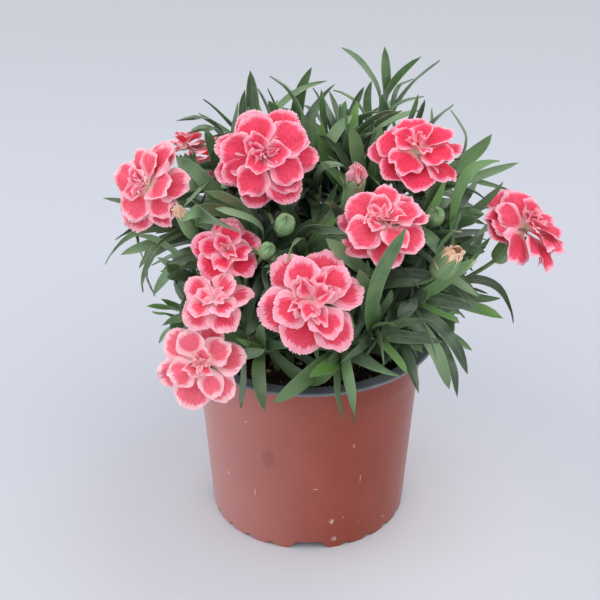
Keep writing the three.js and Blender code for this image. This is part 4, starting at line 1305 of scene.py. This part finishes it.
ribbed = Finish("calyx_skin", Roughness=0.5, Specular_IOR_Level=0.35)
cup_spot = ribbed.attribute("cup")
cup_height, tip_near = part(cup_spot, "Y"), part(cup_spot, "Z")
ribs = ribbed.noise(cup_spot * Vector((26, 1.2, 0)) + part(ribbed.attribute("tone"), "Z") * 9.0, 1.0, 3.0)
cup_green = coated(
    blend(ribs.smooth(0.3, 0.7) * 0.7, rgb(98, 132, 80), rgb(146, 172, 120)),
    (ribbed.noise(ribbed.place(), 0.9, 4.0, 0.6) * 0.5, rgb(140, 164, 128)),
    (cup_height.smooth(0.25, 0.0) * 0.5, rgb(156, 168, 104)),
    (tip_near.smooth(0.8, 1.0) * 0.6, rgb(190, 176, 120)),
)
ribbed.wire("Base Color", cup_green)
ribbed.relief(ribs, 0.1)


def stem_tube():
    """A round tube along each path, as thick as its points say."""
    tree, size = new_tree("stem_tube", Sides=12, Radius=1.0)
    path = Wire.node(tree, "GeometryNodeMeshToCurve", None, {"Mesh": size["Geometry"]})
    sockets = {"Resolution": size["Sides"], "Radius": size["Radius"]}
    ring = Wire.node(tree, "GeometryNodeCurvePrimitiveCircle", None, sockets)
    tube = Wire.node(
        tree,
        "GeometryNodeCurveToMesh",
        None,
        {"Curve": path, "Profile Curve": ring, "Scale": named(tree, "girth", "FLOAT"), "Fill Caps": True},
    )
    end_tree(tree, tube, stalky.material, 60)
    return tree


def curve_value(tree, wire, stops):
    """A value read off a smooth curve through some stops."""
    made = tree.nodes.new("ShaderNodeFloatCurve")
    curve = made.mapping.curves[0]
    for at, value in stops[1:-1]:
        curve.points.new(at, value)
    curve.points[0].location, curve.points[-1].location = stops[0], stops[-1]
    made.mapping.update()
    tree.links.new(wire.socket, made.inputs["Value"])
    return Wire(made.outputs[0])


def cups(name, outline, teeth_rise, wall_share, seam):
    """Round cups of one skin: up the outside, over five teeth, and down the inside."""
    tree, size = new_tree(name, Sides=50, Rows=26, Turn=0.6, Rise=teeth_rise, Wall=wall_share, Seam=seam)
    sockets = {"Vertices": size["Sides"], "Side Segments": size["Rows"], "Radius": 1.0, "Depth": 1.0}
    tube = Wire.node(tree, "GeometryNodeMeshCylinder", None, sockets)
    spot = Wire.node(tree, "GeometryNodeInputPosition")
    tube = stored(tree, tube, "round", spot + Vector((0, 0, 0.5)))
    copies = on_points(tree, size["Geometry"], tube)
    unit = named(tree, "round")
    x, y, s = part(unit, "X"), part(unit, "Y"), part(unit, "Z")
    outside = s / size["Turn"]
    inside = (s - size["Turn"]) / (1.0 - size["Turn"])
    is_inside = s > size["Turn"] + 0.001
    up = mix(outside, 1.0 - inside * 0.34, is_inside)
    around = y.sum("ARCTAN2", x) / (2 * math.pi) + 0.5
    tooth = abs((around * 5.0).sum("FRACT") - 0.5) * 2.0
    tooth_up = (1.0 - tooth) * size["Rise"] * up.smooth(0.6, 1.0)
    radius = curve_value(tree, up, outline) * (1.0 - is_inside * size["Wall"])
    radius = radius * (1.0 - up.smooth(0.7, 1.0) * named(tree, "twist", "FLOAT"))
    radius = radius * (1.0 - tooth.smooth(0.75, 1.0) * size["Seam"] * up.smooth(0.35, 0.8))
    wide, long = named(tree, "width", "FLOAT") * 0.5 * radius, named(tree, "length", "FLOAT")
    side = named(tree, "upper")
    heading = named(tree, "heading")
    ahead = heading.sum("CROSS_PRODUCT", side)
    spot = named(tree, "root") + heading * (long * (up * (1.0 - size["Rise"]) + tooth_up))
    spot = spot + side * (x * wide) + ahead * (y * wide)
    shaped = Wire.node(tree, "GeometryNodeSetPosition", None, {"Geometry": copies, "Position": spot})
    remembered = Wire.node(
        tree, "ShaderNodeCombineXYZ", None, {"X": around, "Y": up, "Z": (1.0 - tooth) * up.smooth(0.6, 1.0)}
    )
    end_tree(tree, stored(tree, shaped, "cup", remembered), ribbed.material, 50)
    return tree


tube_tree = stem_tube()
leaf_tree = leaf_blades("leaf_blades", leafy.material)
calyx_tree = cups("calyx_tubes", CALYX_OUTLINE, teeth_rise=0.16, wall_share=0.16, seam=0.05)
bud_tree = cups("bud_cups", BUD_OUTLINE, teeth_rise=0.14, wall_share=0.3, seam=0.04)

tipped = Finish("bud_petal_tips", Roughness=0.6, Specular_IOR_Level=0.3)
tip_blade, tip_tone = tipped.attribute("blade"), tipped.attribute("tone")
tip_noise = tipped.noise(tip_blade * Vector((4, 2, 0)) + part(tip_tone, "Z") * 9.0, 1.2, 3.0)
dried = blend(tip_noise.smooth(0.35, 0.65), rgb(250, 226, 198), rgb(232, 172, 134))
tipped.wire("Base Color", blend(part(tip_tone, "X"), rgb(226, 96, 116), dried))
tip_tree = leaf_blades("bud_tip_blades", tipped.material)


def stem_path(stem):
    """Points up the middle of a stem and its radius at each, with a swelling where a leaf springs."""
    x, y = feet[stem.index]
    spots = [Vector((x, y, SOIL_TOP - SUNK)), Vector((x, y, SOIL_TOP - 2))]
    girths = [0.8 * stem.radius] * 2
    for k in range(STEM_STEPS + 1):
        t = k / STEM_STEPS
        spot = on_stem(stem, t)[0].lerp(bezier(*stem.bow, t), 0.4)
        swollen = max([0] + [math.exp(-(((spot - leaf.root).length / 2.2) ** 2)) for leaf in stem.leaves])
        spots.append(spot)
        girths.append(stem.radius * mix(0.84, 0.62, t) + 0.4 * swollen)
    if stem.flower and stem.flower.form == "opening":
        spots.append(stem.flower.seat + stem.flower.axis * 1.2)
        girths.append(girths[-1])
    return spots, girths


def joined(name, pieces):
    """Several plain mesh objects as one object, with all their materials."""
    with bpy.context.temp_override(active_object=pieces[0], selected_editable_objects=pieces):
        bpy.ops.object.join()
    pieces[0].name = pieces[0].data.name = name
    return pieces[0]


def stalk_mesh(name, spots, girths):
    """A chain of edges for a tube to follow."""
    mesh = bpy.data.meshes.new(name)
    mesh.from_pydata(spots, [(k, k + 1) for k in range(len(spots) - 1)], [])
    mesh.attributes.new("girth", "FLOAT", "POINT").data.foreach_set("value", girths)
    return mesh


BLADE_VALUES = ("root", "heading", "bend", "upper", "length", "width", "twist", "tone")


def blades(name, leaves, tree, **sizes):
    """The blades or cups of a list, shaped by a tree."""
    return grown(name, table(name, leaves, BLADE_VALUES), tree, **sizes)


def calyx_of(flower):
    """A flower's calyx, with the four scaly bracts round its foot."""
    side = UP.cross(flower.axis).normalized()
    cup = SimpleNamespace(
        root=flower.seat,
        heading=flower.axis,
        bend=(0, 0, 0),
        upper=side,
        length=CALYX_LENGTH * 1.03,
        width=9.2,
        twist=0,
        tone=(0, 0, 0.5),
    )
    bracts = []
    for k in range(BRACTS):
        out = turned(side, flower.axis.cross(side), 2 * math.pi * k / BRACTS + 0.5)
        root = flower.seat - flower.axis * 0.5 + out * 1.2
        bract = opened_leaf(root, flower.axis, out, 0.32, droop=0, arch=-0.2, length=7.5, width=5.2, twist=0)
        bract.tone = (0.6, 1.0, 0.2 * k)
        bracts.append(bract)
    return [blades("cup", [cup], calyx_tree), blades("bracts", bracts, leaf_tree, Neck=0.8)]


def side_bud(stem, number, tip, face, length, thick, dryness):
    """A bud on its stalk, with petal tips that stand out of it where they are dry."""
    foot, axis = on_stem(stem, 0.55)
    neck = tip + face * (1 - length)
    span = (foot - neck).length
    bow = (foot, foot + axis * 0.4 * span, neck - face * 0.4 * span, neck)
    spots = [bezier(*bow, k / STALK_STEPS) for k in range(STALK_STEPS + 1)]
    stalk = grown("stalk", stalk_mesh("stalk", spots, [STALK_RADIUS] * len(spots)), tube_tree)
    side = square(UP, face)
    cup = SimpleNamespace(
        root=tip - face * length,
        heading=face,
        bend=(0, 0, 0),
        upper=side,
        length=length * 0.97,
        width=2 * thick,
        twist=mix(0.95, -0.35, dryness),
        tone=(0, 0, 0.1 * number),
    )
    made = [stalk, blades("bud", [cup], bud_tree)]
    if dryness:
        tips = []
        for k in range(DRIED_TIPS):
            out = turned(side, face.cross(side), k * 0.9)
            dried_tip = opened_leaf(
                tip - face * (0.45 * length) + out * 0.48 * thick,
                face,
                out,
                0.16 * chance(number, k, 95) - 0.06,
                droop=0,
                arch=-0.1,
                length=length * mix(0.54, 0.74, chance(number, k, 96)),
                width=1.25 * thick,
                twist=0.8 * (chance(number, k, 97) - 0.5),
            )
            dried_tip.tone = (1.0, 0.0, chance(number, k, 98))
            tips.append(dried_tip)
        made.append(blades("tips", tips, tip_tree, Neck=0.8, Keel=0.35))
    return made


for stem in stems:
    for k, leaf in enumerate(stem.leaves):
        luck = chance(stem.index, k, 90)
        freshness = leaf.fresh + 0.4 * chance(stem.index, k, 91) * (0.4 + chance(stem.index, 92))
        leaf.tone = (freshness, float(luck > 0.985), luck)
    made = [
        blades("blades", stem.leaves, leaf_tree),
        grown("tube", stalk_mesh("tube", *stem_path(stem)), tube_tree),
    ]
    if stem.flower:
        made += calyx_of(stem.flower)
    for number, (owner, tip, face, length, thick, dryness) in enumerate(BUDS):
        if owner == stem.index:
            made += side_bud(stem, number, Vector(tip), Vector(face).normalized(), length, thick, dryness)
    settled(joined(stem.node + "_green", made), "foliage", stem.node, keep=("blade", "tone", "cup"))

# ---------------------------------------------------------------- blooms
# Double flowers of many thin petals. Each petal is a narrow pale claw that opens into a rounded fan with
# a finely toothed margin. The outer ones lie nearly flat, and the inner ones stand folded in the middle.

# The layers of petals of each form of flower: how many petals, how steeply they rise in degrees, how far up
# they spring, and their length and breadth as shares of the flower's reach.
FORMS = {
    "full": [(7, 3, 0, 1, 0.66), (5, 21, 1.5, 0.88, 0.68), (3, 46, 2.6, 0.6, 0.5)],
    "open": [(6, 4, 0, 1, 0.7), (4, 24, 1.5, 0.82, 0.62), (3, 54, 2.6, 0.55, 0.45)],
    "small": [(5, 8, 0, 1, 0.8), (4, 34, 1.3, 0.85, 0.66), (2, 60, 2.2, 0.6, 0.5)],
    "opening": [(4, 72, 0.4, 1, 0.55), (2, 84, 1.6, 0.95, 0.4)],
}
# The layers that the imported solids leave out, as the flowers have them from the first to the last.
UNDER = (4, 13, 0.8, 0.93, 0.58)
CURLED = (5, 46, 2, 0.64, 0.34)
FOLDED = (4, 54, 2.4, 0.5, 0.27)
HEART = (4, 72, 2.6, 0.42, 0.2)
CLOSED = (4, 82, 0.6, 0.95, 0.42)
MORE_LAYERS = [
    [UNDER, FOLDED, HEART], [HEART], [FOLDED, HEART], [UNDER, FOLDED, HEART], [FOLDED, CURLED], [HEART],
    [FOLDED], [HEART], [UNDER, HEART], [], [FOLDED], [UNDER, HEART], [CLOSED],
]  # fmt: skip
ROLL = math.radians(14)
TEETH = 18
# How wide the pale margin is, in millimetres, how deep the middle's colour, and how pale the whole.
TINTS = [
    (2.0, 0.7, 0.0), (1.6, 0.95, 0.0), (1.9, 0.7, 0.1), (2.0, 0.75, 0.1), (3.2, 0.8, 0.1), (2.4, 1.0, 0.0),
    (3.0, 0.85, 0.2), (2.2, 0.5, 0.45), (2.2, 0.6, 0.2), (1.8, 0.8, 0.1), (2.2, 0.8, 0.1), (2.0, 0.7, 0.2),
    (1.5, 0.8, 0.3),
]  # fmt: skip


def layer_petals(flower, index, row_number, layer, is_solid):
    """The petals of one layer, spread round the eye. Those of the solids keep their places."""
    count, rise, lift, share, breadth = layer
    is_bud = flower.form == "opening"
    inner = min(1, rise / 60)
    layer_key = row_number if is_solid else 20 + row_number
    spread = 0.5 * row_number if is_solid else 0.25 + 0.37 * row_number
    scatter = 0.3 if is_solid else 0.5
    wobble = 3 + 5 * row_number if is_solid else 12 + 8 * row_number
    u = UP.cross(flower.axis).normalized()
    v = flower.axis.cross(u)

    def petal(k):
        def draw(key):
            return chance(index, layer_key, k, key + 40) - 0.5

        out = turned(u, v, 2 * math.pi * (k + spread + scatter * draw(1)) / count + 1.1 * index)
        steep = rise + wobble * draw(2) + (8 if is_bud else 0)
        heading = turned(out, flower.axis, math.radians(steep))
        side = Quaternion(heading, 0.5 * draw(9) - ROLL) @ flower.axis.cross(out)
        return SimpleNamespace(
            root=flower.heart + flower.axis * lift,
            heading=heading,
            side=side,
            normal=heading.cross(side),
            reach=flower.reach * share * (1 + 0.12 * draw(3)) * (1.25 if is_bud else 1),
            width=flower.reach * breadth * (1 + 0.3 * draw(4)) * mix(1.14, 0.86, inner * inner),
            cup=1.3 if is_bud else mix(0.22, 0.6, inner * inner) + 0.4 * draw(5),
            recurve=-0.12 if is_bud else mix(0.2, 0.3, inner) + 0.2 * draw(6),
            ruffle=0.01 if is_bud else mix(0.04, 0.09, inner) + 0.05 * draw(7),
            phase=2 * math.pi * draw(8),
            shade=(chance(index, layer_key, k, 60), inner, index * 0.77),
            tint=TINTS[index],
        )

    return [petal(k) for k in range(count)]


silky = Finish(
    "petal_silk",
    Specular_IOR_Level=0.2,
    Subsurface_Weight=0.2,
    Subsurface_Radius=(1.0, 0.35, 0.35),
    Subsurface_Scale=1.2 * MM,
    Sheen_Weight=0.08,
    Sheen_Roughness=0.4,
)
petal_spot, shade, tint, inset = (silky.attribute(name) for name in ("petal", "shade", "tint", "inset"))
u, v = part(petal_spot, "X"), part(petal_spot, "Y")
own, inner, bloom_key = part(shade, "X"), part(shade, "Y"), part(shade, "Z")
margin, deep, pale = part(tint, "X"), part(tint, "Y"), part(tint, "Z")
from_edge = part(inset, "X")
ray_place = {"X": u * 13.0 + own * 40.0, "Y": v * 1.5, "Z": bloom_key}
ray_spot = silky.node("ShaderNodeCombineXYZ", None, ray_place)
rays = silky.noise(ray_spot, 1.0, 4.0, 0.65)
fine_rays = silky.noise(ray_spot * Vector((2.6, 2.0, 1)), 1.0, 3.0, 0.6)
grains = silky.noise(silky.place(), 1.5, 3.0, 0.75)
clouds = silky.noise(silky.place(), 0.25, 2.0)
# Each petal is pale at its margin, deeper and speckled in its middle, and greenish white down its claw.
margin = margin * (1.0 - inner * 0.5)
band = margin * (0.85 + clouds * 0.5) + (rays - 0.5) * margin * 2.4 + (grains - 0.5) * 2.4
middle = (from_edge - band).smooth(-0.7, 1.1)
dark_speckle = (grains * 0.9 + fine_rays * 0.35).smooth(0.5, 0.78)
pale_speckle = (grains * 0.9 + fine_rays * 0.2).smooth(0.5, 0.34)
blade_tone = coated(
    blend(deep, rgb(246, 116, 138), rgb(236, 66, 98)),
    (dark_speckle * 0.75, rgb(208, 24, 62)),
    (pale_speckle * 0.4, rgb(252, 128, 150)),
    ((from_edge / 9.0).clamped() * deep * 0.45, rgb(238, 36, 70)),
)
edge_tone = blend(from_edge.smooth(0.0, 1.1), rgb(255, 188, 198), rgb(250, 152, 171))
edge_tone = blend((pale * 2.0).clamped(), edge_tone, rgb(255, 200, 204))
petal_tone = coated(
    blend(middle, edge_tone, blade_tone),
    (pale * 0.4, rgb(255, 176, 184)),
    ((v - pale * 0.3).smooth(0.36, 0.14) * (1.0 - inner * 0.5), rgb(250, 214, 206)),
    (v.smooth(0.14, 0.02), rgb(222, 226, 188)),
)
silky.wire("Base Color", petal_tone)
silky.wire("Roughness", 0.5 + grains * 0.2)
silky.relief(fine_rays * 0.7 + grains * 0.4, 0.12)


def petal_fans(name):
    """Shapes one thin fan for each point of a bloom's table of petals."""
    tree, size = new_tree(
        name, Columns=2 * TEETH + 1, Rows=12, Tooth=0.03, Blade=0.3, Edge=0.1, Crowding=1.5, Wander=1.3
    )
    unit = unit_slab(tree, size["Columns"], size["Rows"], "slab")
    column = (part(named(tree, "slab"), "X") + 1.0) * (TEETH * 1.0)
    copies = on_points(tree, size["Geometry"], unit)
    slab = named(tree, "slab")
    u, face = -part(slab, "X"), part(slab, "Z")
    v = 1.0 - (1.0 - part(slab, "Y")).clamped() ** size["Crowding"]
    reach, width = named(tree, "reach", "FLOAT"), named(tree, "width", "FLOAT")
    shade = named(tree, "shade")
    opened = v.smooth(0.1, 0.74) * 0.84 + 0.16
    half = width * 0.5 * opened
    column_number = (column + 0.5).sum("FLOOR")
    is_dip = (column_number * 0.5).sum("FRACT") * 2.0
    luck_spot = Wire.node(
        tree, "ShaderNodeCombineXYZ", None, {"X": column_number, "Y": part(shade, "X") * 97.0}
    )
    luck = Wire.node(
        tree, "ShaderNodeTexWhiteNoise", {"noise_dimensions": "2D"}, {"Vector": luck_spot}
    )
    dip = (is_dip * (0.3 + luck * 0.9) + luck * 0.6) * size["Tooth"] * v.smooth(0.93, 1.0)
    length = reach * v * (1.0 - v * (abs(u) ** 2.4) * 0.36 - dip)
    phase = named(tree, "phase", "FLOAT")
    wave = (u * 6.0 + phase).sum("SINE") * v * v * named(tree, "ruffle", "FLOAT")
    wave = wave + (u * 13.0 + phase * 2.3).sum("SINE") * (v**4.0) * named(tree, "ruffle", "FLOAT") * 0.4
    recurve = named(tree, "recurve", "FLOAT")
    rise = half * u * u * named(tree, "cup", "FLOAT") + reach * (recurve * 0.5 * v * (1.0 - v * 2.0) + wave)
    thick = size["Edge"] + (size["Blade"] - size["Edge"]) * (1.0 - v) * (1.0 - abs(u))
    drift = Wire.node(
        tree,
        "ShaderNodeTexNoise",
        None,
        {"Vector": shade * 31.0 + slab * Vector((0.9, 1.2, 0)), "Scale": 1.0, "Detail": 1.0},
    )
    rise = rise + (drift - 0.5) * size["Wander"] * 2.0 * v + thick * face * 0.5
    spot = named(tree, "root") + named(tree, "heading") * length + named(tree, "side") * (half * u)
    spot = spot + named(tree, "normal") * rise
    shaped = Wire.node(tree, "GeometryNodeSetPosition", None, {"Geometry": copies, "Position": spot})
    inset = (reach * (1.0 - v)).sum("MINIMUM", half * (1.0 - abs(u)) * 1.15)
    seen = Wire.node(tree, "ShaderNodeCombineXYZ", None, {"X": u, "Y": v})
    shaped = stored(tree, stored(tree, shaped, "inset", inset), "petal", seen)
    end_tree(tree, shaped, silky.material, 50)
    return tree


petal_tree = petal_fans("petal_fans")
for index, flower in enumerate(flowers):
    petals = []
    for row_number, layer in enumerate(FORMS[flower.form]):
        petals += layer_petals(flower, index, row_number, layer, True)
    for row_number, layer in enumerate(MORE_LAYERS[index]):
        petals += layer_petals(flower, index, row_number, layer, False)
    node = "bloom_%02d" % (index + 1)
    fans = grown(node + "_petals", table(node, petals, vars(petals[0])), petal_tree)
    settled(fans, "petals", node, keep=("petal", "shade", "tint", "inset"))

# ---------------------------------------------------------------- floor, lights and camera
# A pale floor with painted shade towards the back and painted light in front and round the pot's foot, under an
# even sky and three large soft lamps. The camera stands 0.85 m away and 30 degrees above level, and is shifted
# so that the plant sits a little off the middle of the frame.

SENSOR_MM = 36
floor_mesh = bpy.data.meshes.new("floor")
floor_mesh.from_pydata([(-6, -6, 0), (6, -6, 0), (6, 9, 0), (-6, 9, 0)], [], [(0, 1, 2, 3)])
floor = bpy.data.objects.new("floor", floor_mesh)
bpy.context.scene.collection.objects.link(floor)
paper = Finish("pale_floor", Roughness=0.9, Specular_IOR_Level=0.1)
floor_spot = paper.node("ShaderNodeTexCoord", out="Object")
paper_noise = paper.noise(floor_spot, 1.2, 2.0)
further_back = part(floor_spot, "Y")
beside_pot = (floor_spot - Vector((0.02, -0.01, 0))).sum("LENGTH")
# Painted shade darkens the floor towards the back, and painted light brightens it in front and round the pot's
# foot.
floor_tone_with_painted_light = coated(
    blend(paper_noise, rgb(185, 187, 192), rgb(189, 191, 196)),
    (further_back.smooth(0.2, 0.7), rgb(177, 178, 180)),
    (further_back.smooth(0.12, -0.1), rgb(194, 194, 197)),
    (beside_pot.smooth(0.135, 0.0), rgb(216, 216, 217)),
)
paper.wire("Base Color", floor_tone_with_painted_light)
floor.data.materials.append(paper.material)


def lamp(name, place, aim, size, power, colour):
    """A square lamp that shines from one point towards another."""
    light = bpy.data.lights.new(name, "AREA")
    light.shape, light.size, light.energy, light.color = "SQUARE", size, power, colour
    holder = bpy.data.objects.new(name, light)
    holder.location = place
    holder.rotation_euler = (Vector(aim) - Vector(place)).to_track_quat("-Z", "Y").to_euler()
    bpy.context.scene.collection.objects.link(holder)


aim = POT_AXIS + CAMERA_AIM * MM
lamp("key_lamp", (0.1, -0.6, 1.75), aim, 2.2, 13, (1, 0.985, 0.97))
lamp("side_lamp", (-1.3, 0.05, 0.5), aim, 0.8, 3.4, (0.97, 0.98, 1))
lamp("back_lamp", (0.3, 1.3, 1.6), aim, 1.8, 4, (1, 1, 1))

world = bpy.data.worlds.new("soft_room")
world.use_nodes = True
world.node_tree.nodes["Background"].inputs["Color"].default_value = (0.84, 0.87, 0.95, 1)
world.node_tree.nodes["Background"].inputs["Strength"].default_value = 1.24
bpy.context.scene.world = world
bpy.context.scene.view_settings.view_transform = "Standard"

turn_in = VIEW.to_track_quat("Z", "Y")
per_pixel = CAMERA_DISTANCE * MM / FOCAL_PIXELS
shift = Vector(((PIXELS / 2 - AIM_PIXEL[0]) * per_pixel, (AIM_PIXEL[1] - PIXELS / 2) * per_pixel, 0))
camera = bpy.data.objects.new("camera", bpy.data.cameras.new("camera"))
camera.data.sensor_width = SENSOR_MM
camera.data.lens = FOCAL_PIXELS / PIXELS * SENSOR_MM
camera.location = aim + VIEW * CAMERA_DISTANCE * MM + turn_in @ shift
camera.rotation_euler = turn_in.to_euler()
bpy.context.scene.collection.objects.link(camera)
bpy.context.scene.camera = camera
